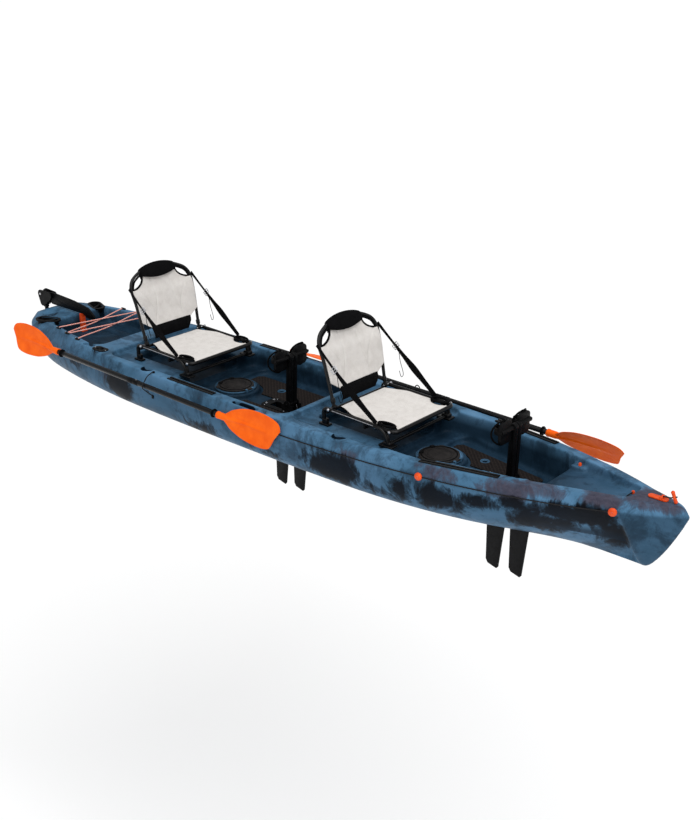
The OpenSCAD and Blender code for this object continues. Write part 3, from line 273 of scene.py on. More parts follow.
def keel_z(x):
    stem_x = BOW_X - 184
    foot_x = STERN_X + 420
    if x > stem_x:
        return 300 * ((x - stem_x) / (BOW_X - stem_x)) ** 1.45
    if x < foot_x:
        return 120 * ((foot_x - x) / (foot_x - STERN_X)) ** 2
    return 0.0


def strip_w(x):
    return max(3, 60 * (1 - ease(0.45, 0.9, bow_t(x))) * (1 - 0.7 * stern_t(x)))


def section_round(x):
    if x >= MID_X:
        return mix(3.4, 1.35, ease(0.3, 0.9, bow_t(x)))
    return mix(3.4, 2.4, ease(0.4, 1, stern_t(x)))


def side_y(x, z):
    n, w, zk = section_round(x), strip_w(x), keel_z(x)
    c = clamp01((z - zk) / (crease_z(x) - zk))
    return w + (crease_y(x) - w) * sqrt(max(0, 1 - (1 - c) ** n)) ** (2 / n)


# The bow has a flat facet ahead of a slanting knuckle, and a hollow side behind it
def bow_hollow(x, u):
    knuckle = mix(2128, 2058, u)
    depth = 30 * ease(1300, 1980, x) * (1 - ease(knuckle - 20, knuckle + 8, x))
    return depth * sin(pi * u ** 0.75) ** 1.1


SIDE_STEPS, BAND_STEPS, DECK_STEPS = 22, 5, 8


def hull_ring(x):
    n, w, zk = section_round(x), strip_w(x), keel_z(x)
    yc, zc = max(crease_y(x), w + 4), max(crease_z(x), zk + 8)
    ye, ze = max(edge_y(x), w + 2), edge_z(x)
    half = []
    for i in range(SIDE_STEPS + 1):
        a = pi / 2 * i / SIDE_STEPS
        y = w + (yc - w) * sin(a) ** (2 / n)
        z = zk + (zc - zk) * (1 - cos(a) ** (2 / n))
        half.append((max(w * 0.5, y - bow_hollow(x, i / SIDE_STEPS)), z))
    for i in range(1, BAND_STEPS + 1):
        t = i / BAND_STEPS
        half.append((mix(yc, ye, t), mix(zc, ze, t)))
    for i in range(1, DECK_STEPS):
        t = i / DECK_STEPS
        half.append((ye * (1 - t), ze + 4 * t))
    ring = [(x, 0.0, zk)] + [(x, y, z) for y, z in half] + [(x, 0.0, ze + 4)]
    return ring + [(x, -y, z) for y, z in reversed(half)]


def crowded(t):
    return 1.2 * t * t + 0.4 * t if t <= 0.5 else 1 - crowded(1 - t)


def loft(rings, closed=False):
    """A skin over rings of points, capped at both ends or joined into a loop."""
    s, m = len(rings[0]), len(rings)
    faces = []
    for i in range(m if closed else m - 1):
        for k in range(s):
            j, after = (i + 1) % m * s, (k + 1) % s
            faces.append((i * s + k, i * s + after, j + after, j + k))
    if not closed:
        faces += [tuple(reversed(range(s))), tuple((m - 1) * s + k for k in range(s))]
    return [v for r in rings for v in r], faces


def add_object(name, data):
    ob = bpy.data.objects.new(name, data)
    bpy.context.collection.objects.link(ob)
    return ob


def from_bmesh(name, bm):
    me = bpy.data.meshes.new(name)
    bm.to_mesh(me)
    bm.free()
    return add_object(name, me)


def discard(ob):
    me = ob.data
    bpy.data.objects.remove(ob)
    bpy.data.meshes.remove(me)


def raw_mesh(name, verts, faces, scale=0.001):
    me = bpy.data.meshes.new(name)
    me.from_pydata([Vector(v) * scale for v in verts], [], faces)
    me.validate()
    bm = bmesh.new()
    bm.from_mesh(me)
    bpy.data.meshes.remove(me)
    bmesh.ops.recalc_face_normals(bm, faces=bm.faces)
    return from_bmesh(name, bm)


def convex(name, points):
    bm = bmesh.new()
    for p in points:
        bm.verts.new(Vector(p) * 0.001)
    out = bmesh.ops.convex_hull(bm, input=bm.verts)
    spare = [g for g in out["geom_interior"] + out["geom_unused"] if isinstance(g, bmesh.types.BMVert)]
    bmesh.ops.delete(bm, geom=list(dict.fromkeys(spare)), context="VERTS")
    bmesh.ops.recalc_face_normals(bm, faces=bm.faces)
    return from_bmesh(name, bm)


def circle(n):
    return [(cos(2 * pi * k / n), sin(2 * pi * k / n)) for k in range(n)]


def disc(cx, cy, z, r, n=28):
    return [(cx + r * c, cy + r * s, z) for c, s in circle(n)]


def drum(name, cx, cy, z0, z1, r, n=28):
    return convex(name, disc(cx, cy, z0, r, n) + disc(cx, cy, z1, r, n))


# Wells: x aft, x fore, half width aft, half width fore, floor aft, floor fore, corner
WELLS = [
    (-1960, -1390, 222, 288, TANK_Z, TANK_Z, 70),
    (-590, 195, 328, 332, FLOOR_Z, FLOOR_Z, 70),
    (905, 1625, 298, 194, FLOOR_Z, FLOOR_Z, 60),
    (1596, 2060, 186, 72, 274, 312, 34),
]
for seat_x, plat_w in ((SEATS["rear"], 328), (SEATS["front"], 298)):
    WELLS.append((seat_x - 245, seat_x + 395, 332, 332, LEDGE_Z, LEDGE_Z, 60))
    WELLS.append((seat_x - 185, seat_x + 395, 188, 188, 216, 216, 50))
    WELLS.append((seat_x + 315, seat_x + 680, plat_w, plat_w, PLATFORM_Z, PLATFORM_Z, 60))


def well_points(w):
    points, f, top = [], 16, 520
    for e in (0, 1):
        cx = w[0] + w[6] if e == 0 else w[1] - w[6]
        for s in (-1, 1):
            cy, z, r = s * (w[2 + e] - w[6]), w[4 + e], w[6]
            points += disc(cx, cy, z, r - f) + disc(cx, cy, z + 0.29 * f, r - 0.29 * f)
            points += disc(cx, cy, z + f, r) + disc(cx, cy, top, r + 8)
    return points


def oval_points(cx, cy, length, width, z0, z1):
    r = width / 2
    return [p for e in (-1, 1) for z in (z1, z0) for p in disc(cx + e * (length / 2 - r), cy, z, r)]


def box_points(x0, x1, y0, y1, z0, z1):
    return [(x, y, z) for x in (x0, x1) for y in (y0, y1) for z in (z0, z1)]


def turned(points, centre, deg):
    c, s = cos(radians(deg)), sin(radians(deg))
    return [(centre[0] + x * c - y * s, centre[1] + x * s + y * c, centre[2] + z) for x, y, z in points]


def handle_oval(name, s, *sizes):
    """An oval block square to a stern handle: length, width, low and high."""
    at = (HANDLE_X, s * HANDLE_Y, deck_z(HANDLE_X, HANDLE_Y))
    return convex(name, turned(oval_points(0, 0, *sizes), at, -HANDLE_YAW * s))


def bake(ob):
    dg = bpy.context.evaluated_depsgraph_get()
    me = bpy.data.meshes.new_from_object(ob.evaluated_get(dg))
    old = ob.data
    ob.modifiers.clear()
    ob.data = me
    bpy.data.meshes.remove(old)


def combine(target, others, operation):
    for ob in others:
        m = target.modifiers.new(operation, "BOOLEAN")
        m.operation, m.solver, m.object = operation, "MANIFOLD", ob
    bake(target)
    for ob in others:
        discard(ob)


HULL_VOXEL = 0.006


def hull_ribs():
    """Ribs, bosses and hatch seats that stand in the wells."""
    adds = []
    for s in (-1, 1):
        boxes = [(1641, 1721, s * 140, s * 205, 262, 303)]
        for x, wall in ((1305, 262), (1412, 240)):
            boxes.append((x - 9, x + 9, s * (wall - 7), s * (wall + 26), 170, 286))
        boxes += [(-1900, -1430, s * y - 9, s * y + 9, TANK_Z - 20, TANK_Z + 7) for y in (70, 150)]
        boxes += [(x - 9, x + 9, s * 325, s * 350, 172, 280) for x in (-255, -150, -20, 85)]
        adds += [convex("rib", box_points(*b)) for b in boxes]
    for x in HATCHES.values():
        steps = ((FLOOR_Z - 30, 150), (PLATFORM_Z - 4, 142), (PLATFORM_Z, 137))
        adds.append(convex("hatch_boss", [p for z, r in steps for p in disc(x, 0, z, r, 48)]))
    return adds


def soft_cuts():
    """Wells and gunwale hollows, whose edges come out rounded."""
    cuts = [convex("well", well_points(w)) for w in WELLS]
    ovals = [(x, CUP_IN, 80, 80, 34) for x in CUPS]
    ovals += [(POCKET_X, TRACK_IN, 180, 34, 30), (-1450, 30, 92, 38, 26)]
    for s in (-1, 1):
        for x, inset, length, width, deep in ovals:
            y, z = s * (edge_y(x) - inset), edge_z(x)
            cuts.append(convex("hollow", oval_points(x, y, length, width, z - deep, z + 60)))
    return cuts


def crisp_cuts():
    """Trunks, holes and seats of fittings, whose edges stay crisp."""
    cuts = [convex("trunk", oval_points(x - 10, 0, 340, 88, -60, 230)) for x in DRIVES.values()]
    cuts += [drum("scupper", x, y, -60, 235, 16) for x, y in SCUPPERS + ((TANK_SCUPPER_X, 0),)]
    cuts += [drum("hatch", x, 0, 14, 230, 97.4, 48) for x in HATCHES.values()]
    lean = radians(28)
    axis, across = Vector((-sin(lean), 0, cos(lean))), Vector((cos(lean), 0, sin(lean)))
    for s in (-1, 1):
        cuts.append(handle_oval("handle", s, 140, 62, -33, 60))
        for xm, length in TRACKS:
            a, b = xm - length / 2, xm + length / 2
            yaw = degrees(atan2(edge_y(b) - edge_y(a), length)) * s
            pitch = atan2(edge_z(b) - edge_z(a), length)
            flat = [(x, y, z + x * tan(pitch)) for x, y, z in
                    box_points(-length / 2 - 0.4, length / 2 + 0.4, -17.4, 17.4, -11, 60)]
            centre = (xm, s * ((edge_y(a) + edge_y(b)) / 2 - TRACK_IN), (edge_z(a) + edge_z(b)) / 2 + 1)
            cuts.append(convex("track", turned(flat, centre, yaw)))
        base = Vector((ROD_X, s * (edge_y(ROD_X) - ROD_IN), edge_z(ROD_X) - 1))
        cuts.append(convex("rod", [base + axis * d + 24.9 * (across * c + Vector((0, 1, 0)) * q)
                                   for d in (-270, 100) for c, q in circle(32)]))
    return cuts


def build_hull():
    rings = [hull_ring(mix(STERN_X, BOW_X, crowded(i / 230))) for i in range(231)]
    hull = raw_mesh("kayak_hull", *loft(rings))
    combine(hull, soft_cuts(), "DIFFERENCE")
    combine(hull, hull_ribs(), "UNION")
    m = hull.modifiers.new("skin", "REMESH")
    m.mode, m.voxel_size, m.use_smooth_shade = "VOXEL", HULL_VOXEL, True
    m = hull.modifiers.new("soften", "SMOOTH")
    m.factor, m.iterations = 0.5, 7
    bake(hull)
    combine(hull, crisp_cuts(), "DIFFERENCE")
    return hull


def linear(code):
    """A hex colour as linear RGBA."""
    out = []
    for i in (0, 2, 4):
        c = int(code[i:i + 2], 16) / 255
        out.append(c / 12.92 if c < 0.04045 else ((c + 0.055) / 1.055) ** 2.4)
    return (*out, 1.0)


class Shader:
    """A procedural material: noise, ramps and bumps around one principled shader."""

    def __init__(self, name):
        self.m = bpy.data.materials.new(name)
        self.m.use_nodes = True
        self.t = self.m.node_tree
        self.t.nodes.clear()
        self.out = self.add("ShaderNodeOutputMaterial")
        self.b = self.add("ShaderNodeBsdfPrincipled")
        self.link(self.b.outputs[0], self.out.inputs[0])
        self.coord = self.add("ShaderNodeTexCoord").outputs["Object"]

    def add(self, kind, **values):
        n = self.t.nodes.new(kind)
        for k, v in values.items():
            n.inputs[k].default_value = v
        return n

    def link(self, a, b):
        self.t.links.new(a, b)

    def stretched(self, scale):
        n = self.add("ShaderNodeMapping", Scale=scale)
        self.link(self.coord, n.inputs["Vector"])
        return n.outputs[0]

    def noise(self, scale, detail=4.0, rough=0.55, distort=0.0, stretch=None):
        n = self.add("ShaderNodeTexNoise", Scale=scale, Detail=detail, Roughness=rough, Distortion=distort)
        self.link(self.stretched(stretch) if stretch else self.coord, n.inputs["Vector"])
        return n.outputs["Fac"]

    def wave(self, scale, axis, distort=0.0):
        n = self.add("ShaderNodeTexWave", Scale=scale, Distortion=distort)
        n.bands_direction = axis
        self.link(self.coord, n.inputs["Vector"])
        return n.outputs["Fac"]

    def math(self, op, a, b):
        n = self.add("ShaderNodeMath")
        n.operation = op
        for i, v in enumerate((a, b)):
            if isinstance(v, (int, float)):
                n.inputs[i].default_value = v
            else:
                self.link(v, n.inputs[i])
        return n.outputs[0]

    def plus(self, a, share, b):
        return self.math("ADD", self.math("MULTIPLY", a, share), b)

    def ramp(self, fac, *stops):
        n = self.add("ShaderNodeValToRGB")
        e = n.color_ramp.elements
        while len(e) < len(stops):
            e.new(0.5)
        for k, (pos, colour) in zip(e, stops):
            k.position = pos
            k.color = linear(colour) if isinstance(colour, str) else (colour, colour, colour, 1)
        self.link(fac, n.inputs[0])
        return n.outputs[0]

    def blend(self, fac, a, b):
        n = self.add("ShaderNodeMix")
        n.data_type = "RGBA"
        self.link(fac, n.inputs[0])
        self.link(a, n.inputs[6])
        self.link(b, n.inputs[7])
        return n.outputs[2]

    def bump(self, height, strength, distance):
        n = self.add("ShaderNodeBump", Strength=strength, Distance=distance)
        self.link(height, n.inputs["Height"])
        self.link(n.outputs[0], self.b.inputs["Normal"])

    def base(self, colour):
        self.link(colour, self.b.inputs["Base Color"])

    def rough(self, low, high, scale=40.0):
        self.link(self.ramp(self.noise(scale, 3), (0.3, low), (0.7, high)), self.b.inputs["Roughness"])

    def set(self, **values):
        for k, v in values.items():
            self.b.inputs[k.replace("_", " ")].default_value = v
        return self.m


def plain(name, dark, light, rough, grain, fine, strength, metal, spec):
    s = Shader(name)
    s.base(s.ramp(s.noise(grain, 5), (0.32, dark), (0.68, light)))
    s.rough(*rough, grain * 1.7)
    s.bump(s.noise(fine, 2), strength, 0.0006)
    return s.set(Metallic=metal, Specular_IOR_Level=spec)


def camo_material():
    s = Shader("camo_shell")
    # Three painted attributes: black camo patches together with painted shade in the hollows, grey camo patches, and
    # painted shade
    patch, haze, shade = [s.add("ShaderNodeAttribute") for _ in range(3)]
    patch.attribute_name, haze.attribute_name, shade.attribute_name = "blotch_and_hollow_shade", "haze", "shade"
    smear = s.noise(4.6, 10, 0.66, 1.1, (0.9, 1.0, 0.75))
    streak = s.noise(11.0, 10, 0.72, 0.8, (1.15, 1.0, 0.6))
    cloud = s.noise(2.4, 5, 0.6, 0.6, (0.8, 1.0, 1.3))
    flecks = s.noise(44.0, 6, 0.7, 0.5, (0.8, 1.0, 1.0))
    blue = s.ramp(cloud, (0.30, "36546C"), (0.46, "476E8C"), (0.62, "557D9E"), (0.80, "5F86A7"))
    rough_edge = s.plus(smear, 0.62, s.math("MULTIPLY", streak, 0.42))
    torn = s.plus(s.math("SUBTRACT", streak, 0.5), 0.55, rough_edge)
    mottle = s.ramp(s.plus(flecks, 0.16, rough_edge), (0.57, 0.0), (0.66, 0.55), (0.80, 0.88))
    blue = s.blend(mottle, blue, s.ramp(flecks, (0.3, "182430"), (0.7, "27394A")))
    worn = s.ramp(s.plus(haze.outputs["Fac"], 0.50, torn), (0.74, 0.0), (0.84, 0.6), (1.0, 0.92))
    blue = s.blend(worn, blue, s.ramp(flecks, (0.3, "34323E"), (0.7, "4F4B58")))
    # The black blend covers the camo's black patches and also the hollows, where it is painted shade
    black = s.ramp(s.plus(patch.outputs["Fac"], 0.66, torn), (0.79, 0.0), (0.86, 0.62), (0.98, 0.985))
    blue = s.blend(black, blue, s.ramp(flecks, (0.3, "060609"), (0.75, "101116")))
    # The painted shade attribute darkens the colour towards a deep blue: painted shade in the wells, below the crease,
    # on the bow facet and in the hollows
    deep = s.ramp(cloud, (0.3, "050E17"), (0.7, "0C2031"))
    s.base(s.blend(s.ramp(shade.outputs["Fac"], (0.0, 0.0), (1.0, 0.84)), blue, deep))
    s.rough(0.34, 0.48, 22.0)
    s.bump(s.noise(420.0, 3), 0.10, 0.0008)
    return s.set(Specular_IOR_Level=0.05)


def fabric_material(name, dark, light, weave, strength, spec, sheen):
    s = Shader(name)
    cross = s.math("MULTIPLY", s.wave(weave, "Y"), s.wave(weave * 0.9, "Z"))
    tint = s.plus(s.noise(26.0, 5), 0.7, s.math("MULTIPLY", cross, 0.3))
    s.base(s.ramp(tint, (0.18, dark), (0.55, light)))
    s.rough(0.75, 0.9, 60.0)
    s.bump(s.math("ADD", cross, s.noise(14.0, 4)), strength, 0.0012)
    return s.set(Specular_IOR_Level=spec, Sheen_Weight=sheen)


def foam_material():
    s = Shader("brown_foam")
    grid = s.math("MAXIMUM", s.wave(26.0, "DIAGONAL"), s.wave(26.0, "Y"))
    # Darker where the grid is low, in the grooves: painted shade in the grooves, with random tone from the noise
    s.base(s.ramp(s.math("MULTIPLY", grid, s.noise(90.0, 3)), (0.15, "100E0E"), (0.55, "2A2422")))
    s.rough(0.8, 0.95)
    s.bump(grid, 0.5, 0.0015)
    return s.set(Specular_IOR_Level=0.12)


def cord_material(name, dark, light, accent, scale):
    s = Shader(name)
    braid = s.wave(scale, "DIAGONAL", 1.5)
    s.base(s.ramp(braid, (0.2, dark), (0.55, light), (0.72, accent)))
    s.rough(0.65, 0.85)
    s.bump(braid, 0.4, 0.0008)
    return s.set(Specular_IOR_Level=0.3)


# Plain finishes: dark and light tint, roughness, grain, fine grain, bump, metal and gloss
FINISHES = {
    "brown_plastic": ("1B1919", "2B2827", (0.5, 0.7), 30, 700, 0.2, 0.0, 0.15),
    "black_alloy": ("060607", "0E0F11", (0.34, 0.5), 60, 1200, 0.08, 0.1, 0.2),
    "orange_plastic": ("D24012", "EE5A1E", (0.38, 0.5), 50, 700, 0.1, 0.0, 0.25),
    "orange_rubber": ("BC3810", "D94C1A", (0.6, 0.75), 50, 700, 0.15, 0.0, 0.15),
    "steel": ("9A9BA0", "D5D6DA", (0.2, 0.36), 80, 1500, 0.06, 1.0, 0.5),
    "black_tube": ("050506", "0C0C0E", (0.26, 0.4), 55, 1000, 0.08, 0.0, 0.28),
    "orange_blade": ("F05A0C", "FF6E16", (0.40, 0.52), 14, 600, 0.06, 0.0, 0.08),
    "black_shaft": ("060607", "0E0E10", (0.24, 0.36), 40, 1100, 0.06, 0.0, 0.25),
    "black_rubber": ("050506", "0A0A0B", (0.6, 0.8), 50, 800, 0.2, 0.0, 0.05),
    "black_plastic": ("060607", "0C0C0E", (0.4, 0.58), 40, 800, 0.15, 0.0, 0.10),
}
# Fabrics: dark and light tint, weave, bump, gloss and sheen
FABRICS = {
    "cream_fabric": ("CBC6C1", "DEDAD6", 900.0, 0.3, 0.15, 0.08),
    "black_webbing": ("050506", "0C0C0E", 500.0, 0.5, 0.06, 0.0),
}
# Cords: dark, light and fleck tint, and braid
CORDS = {
    "fleck_cord": ("D9431C", "E9683E", "F3E6DF", 110.0),
    "black_cord": ("050506", "0B0B0D", "141417", 300.0),
}
MATERIALS = {"camo_shell": camo_material(), "brown_foam": foam_material()}
for make, table in ((plain, FINISHES), (fabric_material, FABRICS), (cord_material, CORDS)):
    MATERIALS.update((name, make(name, *values)) for name, values in table.items())


def place(ob, material, body, replaced=(), smooth=40):
    """Finishes a piece: material, shading, the body it rides on and the CAD nodes it stands for."""
    me = ob.data
    me.materials.clear()
    me.materials.append(MATERIALS[material])
    me.polygons.foreach_set("material_index", [0] * len(me.polygons))
    me.polygons.foreach_set("use_smooth", [True] * len(me.polygons))
    me.set_sharp_from_angle(angle=radians(smooth))
    if body:
        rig.ride(ob, body)
    if replaced:
        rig.replaces(ob, *replaced)
    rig.slot(ob, material)
    return ob


def path_through(points, per=8, closed=False):
    """A smooth line through the points."""
    p = [Vector(q) for q in points]
    n = len(p)
    out = []
    for i in range(n if closed else n - 1):
        a = p[(i - 1) % n] if closed or i > 0 else p[0] * 2 - p[1]
        b, c = p[i], p[(i + 1) % n]
        d = p[(i + 2) % n] if closed or i + 2 < n else c * 2 - b
        for k in range(per):
            t = k / per
            out.append(0.5 * ((2 * b) + (c - a) * t + (2 * a - 5 * b + 4 * c - d) * t * t
                              + (3 * b - a - 3 * c + d) * t ** 3))
    return out if closed else out + [p[-1]]


def rounded_path(points, radii, per=8):
    """Straight runs joined by round bends, with a radius for each corner."""
    p = [Vector(q) for q in points]
    out = [p[0]]
    for i, r in enumerate(radii, 1):
        a = p[i] + (p[i - 1] - p[i]).normalized() * r
        b = p[i] + (p[i + 1] - p[i]).normalized() * r
        for k in range(per + 1):
            t = k / per
            out.append(a * (1 - t) ** 2 + p[i] * 2 * t * (1 - t) + b * t * t)
    return out + [p[-1]]


def frames(line, closed=False):
    """Two axes square to the line at each of its points, turning as little as they can."""
    n = len(line)
    side, out = None, []
    for i, p in enumerate(line):
        before = line[(i - 1) % n] if closed or i > 0 else p
        after = line[(i + 1) % n] if closed or i < n - 1 else p
        t = (after - before).normalized()
        if side is None:
            side = t.cross(Vector((0, 0, 1)) if abs(t.z) < 0.8 else Vector((0, 1, 0)))
        side = (side - t * side.dot(t)).normalized()
        out.append((side, t.cross(side)))
    return out


def tube(name, line, radius, sides=12, closed=False):
    """A round tube along a line, in millimetres."""
    line = [Vector(p) for p in line]
    rings = [[p + u * radius * c + w * radius * s for c, s in circle(sides)]
             for p, (u, w) in zip(line, frames(line, closed))]
    return raw_mesh(name, *loft(rings, closed))


def slab(name, nu, nv, face, sheets=(1, -1)):
    """A closed sheet of some thickness between two surfaces of u and v from 0 to 1."""
    verts = [face(i / nu, j / nv, k) for k in sheets for i in range(nu + 1) for j in range(nv + 1)]
    w, half = nv + 1, (nu + 1) * (nv + 1)
    faces = []
    for i in range(nu):
        for j in range(nv):
            a = i * w + j
            faces.append((a, a + w, a + w + 1, a + 1))
            faces.append((half + a, half + a + 1, half + a + w + 1, half + a + w))
    rim = [i * w for i in range(nu + 1)] + [nu * w + j for j in range(1, nv + 1)]
    rim += [i * w + nv for i in range(nu - 1, -1, -1)] + [j for j in range(nv - 1, 0, -1)]
    for a, b in zip(rim, rim[1:] + rim[:1]):
        faces.append((a, b, half + b, half + a))
    return raw_mesh(name, verts, faces)


def lathe(name, profile, centre, axis, sides=28):
    """A turned shape: (distance along the axis, radius) pairs about an axis through a point."""
    z = Vector(axis).normalized()
    x = z.orthogonal().normalized()
    y, centre = z.cross(x), Vector(centre)
    rings = [[centre + z * d + (x * c + y * s) * max(r, 0.05) for c, s in circle(sides)] for d, r in profile]
    return raw_mesh(name, *loft(rings))


def join(name, parts):
    """One object out of several."""
    bm = bmesh.new()
    for ob in parts:
        bm.from_mesh(ob.data)
        discard(ob)
    return from_bmesh(name, bm)


def round_edges(bm, edges, bevel, segments):
    bmesh.ops.bevel(bm, geom=edges, offset=bevel * 0.001, segments=segments, profile=0.5, affect="EDGES",
                    clamp_overlap=True)


def refine(node, material, bevel, segments):
    """A CAD node's own shape with its sharp edges rounded."""
    bm = bmesh.new()
    bm.from_mesh(NODES[node].data)
    bmesh.ops.remove_doubles(bm, verts=bm.verts, dist=0.00001)
    bmesh.ops.dissolve_limit(bm, angle_limit=radians(0.4), verts=bm.verts, edges=bm.edges)
    hard = [e for e in bm.edges if len(e.link_faces) == 2 and e.calc_face_angle() > radians(32)]
    round_edges(bm, hard, bevel, segments)
    return place(from_bmesh(node + "_piece", bm), material, BODY_OF[node], (node,), 38)


def span(line):
    return sum((Vector(b) - Vector(a)).length for a, b in zip(line, line[1:])) * 0.001


def metres(line):
    return [Vector(p) * 0.001 for p in line]


# Camera where the photo was taken from, pale floor and soft light
LENS, SENSOR, EYE = 52.83, 36.0, (4.251, -4.472, 2.750)
YAW, PITCH = radians(130.937), radians(-22.628)
FLOOR_HALF, FLOOR_DROP = 90, 2.4
PANELS = (("bow_panel", (5.2, -1.2, 2.6), (1.2, 0, 0.3), (2.6, 1.6), 26),
          ("side_panel", (0.5, -5.5, 3.2), (0, 0, 0.3), (4.5, 1.2), 24))


def aim(ob, direction):
    ob.rotation_euler = Vector(direction).to_track_quat("-Z", "Y").to_euler()


def build_stage():
    scene = bpy.context.scene
    cam = bpy.data.cameras.new("camera")
    cam.lens, cam.sensor_width, cam.sensor_fit, cam.clip_end = LENS, SENSOR, "AUTO", 400
    scene.camera = add_object("camera", cam)
    scene.camera.location = EYE
    aim(scene.camera, (cos(YAW) * cos(PITCH), sin(YAW) * cos(PITCH), sin(PITCH)))

    scene.world = bpy.data.worlds.new("studio")
    scene.world.use_nodes = True
    sky = scene.world.node_tree.nodes["Background"].inputs
    sky[0].default_value, sky[1].default_value = (1, 1, 1, 1), 0.45
    scene.view_settings.view_transform = "Standard"

    sun = bpy.data.lights.new("overhead", "SUN")
    sun.energy, sun.angle = 2.1, radians(65)
    aim(add_object("overhead", sun), (-0.30, 0.16, -0.94))
    for name, at, target, size, power in PANELS:
        area = bpy.data.lights.new(name, "AREA")
        area.shape, area.size, area.size_y, area.energy = "RECTANGLE", *size, power
        ob = add_object(name, area)
        ob.location = at
        aim(ob, Vector(target) - Vector(at))

    h = FLOOR_HALF
    floor = raw_mesh("floor", [(-h, -h, 0), (h, -h, 0), (h, h, 0), (-h, h, 0)], [(0, 1, 2, 3)], 1.0)
    floor.location.z = CAD_BOX[0][2] - FLOOR_DROP
    pale = Shader("pale_floor").set(Base_Color=linear("FBFBFB"), Roughness=0.95, Specular_IOR_Level=0.0)
    floor.data.materials.append(pale)
    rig.stage(floor)


# Cords and bungees
def line_point(x):
    return Vector((x, -crease_y(x) - 3.6, crease_z(x)))


PADDLES = {
    "starboard": (-1, Vector((-2030, -451.4, 284)), Vector((270, -431.4, 228))),
    "port": (1, Vector((-470, 470.4, 292)), Vector((1810, 348.4, 320))),
}


def paddle_at(side, x):
    _, tip, head = PADDLES[side]
    return tip + (head - tip) * ((x - tip.x) / (head.x - tip.x))


def lay_cord(name, line, r, material, replaced, lay="taut", stiffness="limp"):
    ob = tube(name, line, r, 10)
    place(ob, material, "boat", (replaced,), 60)
    pts = metres(line)
    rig.cord(ob, pts[0], span(line), 2 * r * 0.001, "object", stiffness, lay, pts)


ANCHOR_X = (-1827.0, -1706.0, -1571.0)


def anchor(i, s, aside=0):
    x = ANCHOR_X[i]
    return Vector((x + aside, s * (edge_y(x) - 24), edge_z(x) + 5.2))


def build_cords():
    line = [line_point(mix(205, 2032.7, i / 90)) for i in range(91)]
    lay_cord("deck_line_cord", line, 3, "black_cord", "deck_line")
    line = [Vector((2026, t * 35, 320 + 1.5 * (1 - t * t))) for t in [k / 8 - 1 for k in range(17)]]
    lay_cord("bow_well_cord", line, 3, "black_cord", "deck_line")
    ends = [(anchor(0, -1), anchor(1, 1), 0), (anchor(1, -1), anchor(0, 1), 10),
            (anchor(1, -1, 18), anchor(2, 1), 0), (anchor(2, -1), anchor(1, 1, 18), 10)]
    for k, (a, b, dip) in enumerate(ends, 1):
        d = (b - a).normalized() * 5.8
        line = [(a - d).lerp(b + d, i / 30) - Vector((0, 0, dip * sin(pi * i / 30) ** 2))
                for i in range(31)]
        lay_cord("stern_bungee_%d" % k, line, 4, "fleck_cord", "stern_bungee", "taut", "medium")
    lean = radians(24)
    d = Vector((cos(lean), 0, sin(lean)))
    end = Vector((2244, 0, edge_z(2244) + 4 + 22 * cos(lean) + 9))
    line = path_through([(2191.4, 0, edge_z(2170) + 20), end - d * 18, end, end + d * 14])
    lay_cord("toggle_cord", line, 3, "black_cord", "bow_toggle_cord", "loose", "medium")
    for side, x, out in (("starboard", SEATS["rear"] + 215, 4.3), ("port", SEATS["front"] + 20, 5.6)):
        s = PADDLES[side][0]
        c, r = paddle_at(side, x), 22.0
        top = Vector((x, s * min(edge_y(x) - 8, abs(c.y) - r - 4), edge_z(x) + 7.5))
        z = c.z - 66
        hook = Vector((x + 20, s * (side_y(x + 20, z) + out), z))
        far = c + Vector((0, s * r, 0))
        line = path_through([
            top, top.lerp(c + Vector((0, 0, r)), 0.6) + Vector((0, s * 5, 12)),
            c + Vector((0, 0.6 * s * r, 0.8 * r)), far, c + Vector((0, 0.6 * s * r, -0.8 * r)),
            hook + Vector((0, s * 5, 8))])
        ob = tube("keeper_" + side, line, 3, 10)
        place(ob, "black_cord", None, ("paddle_bungees",), 60)
        pts = metres(line)
        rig.blend(ob, "boat", "paddle_" + side, top * 0.001, far * 0.001)
        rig.cord(ob, pts[0], span(line), 0.006, "object", "limp", "taut", pts)


# Camouflage patches: place, reach and strength, black then grey
BLACK_PATCHES = [
    ((-1070, -410, 140), (150, 120, 120), 1.0), ((600, -405, 150), (210, 120, 105), 0.95),
    ((1010, -380, 160), (120, 120, 100), 0.75), ((1230, -350, 165), (190, 120, 105), 0.85),
    ((1900, -210, 235), (300, 150, 75), 1.0), ((1760, -230, 150), (260, 150, 95), 0.95),
    ((2030, -130, 130), (130, 120, 130), 0.9), ((-380, -405, 80), (260, 130, 80), 0.7),
    ((-1550, -380, 170), (140, 120, 70), 0.45), ((-30, -385, 315), (190, 50, 30), 0.4),
    ((-560, -380, 318), (120, 40, 30), 0.4), ((-1330, -370, 320), (130, 60, 40), 0.5),
    ((2080, 40, 345), (120, 120, 40), 0.5), ((-2080, -150, 320), (120, 120, 60), 0.4),
    ((-900, 405, 160), (180, 120, 110), 0.9), ((300, 408, 150), (220, 120, 100), 0.9),
    ((1100, 370, 160), (170, 120, 100), 0.85), ((1850, 220, 190), (240, 130, 100), 0.9),
    ((-1700, 380, 170), (150, 120, 100), 0.7), ((-240, 405, 110), (180, 120, 80), 0.7),
    ((1440, -330, 205), (190, 120, 60), 0.75), ((1590, -290, 235), (120, 120, 50), 0.7),
    ((850, -400, 110), (140, 120, 60), 0.6), ((160, -410, 90), (180, 120, 60), 0.6),
    ((-760, -405, 200), (120, 90, 60), 0.5),
    ((500, 0, 5), (260, 240, 40), 0.8), ((-700, 60, 5), (300, 240, 40), 0.8),
    ((1500, -60, 5), (240, 160, 50), 0.8),
]
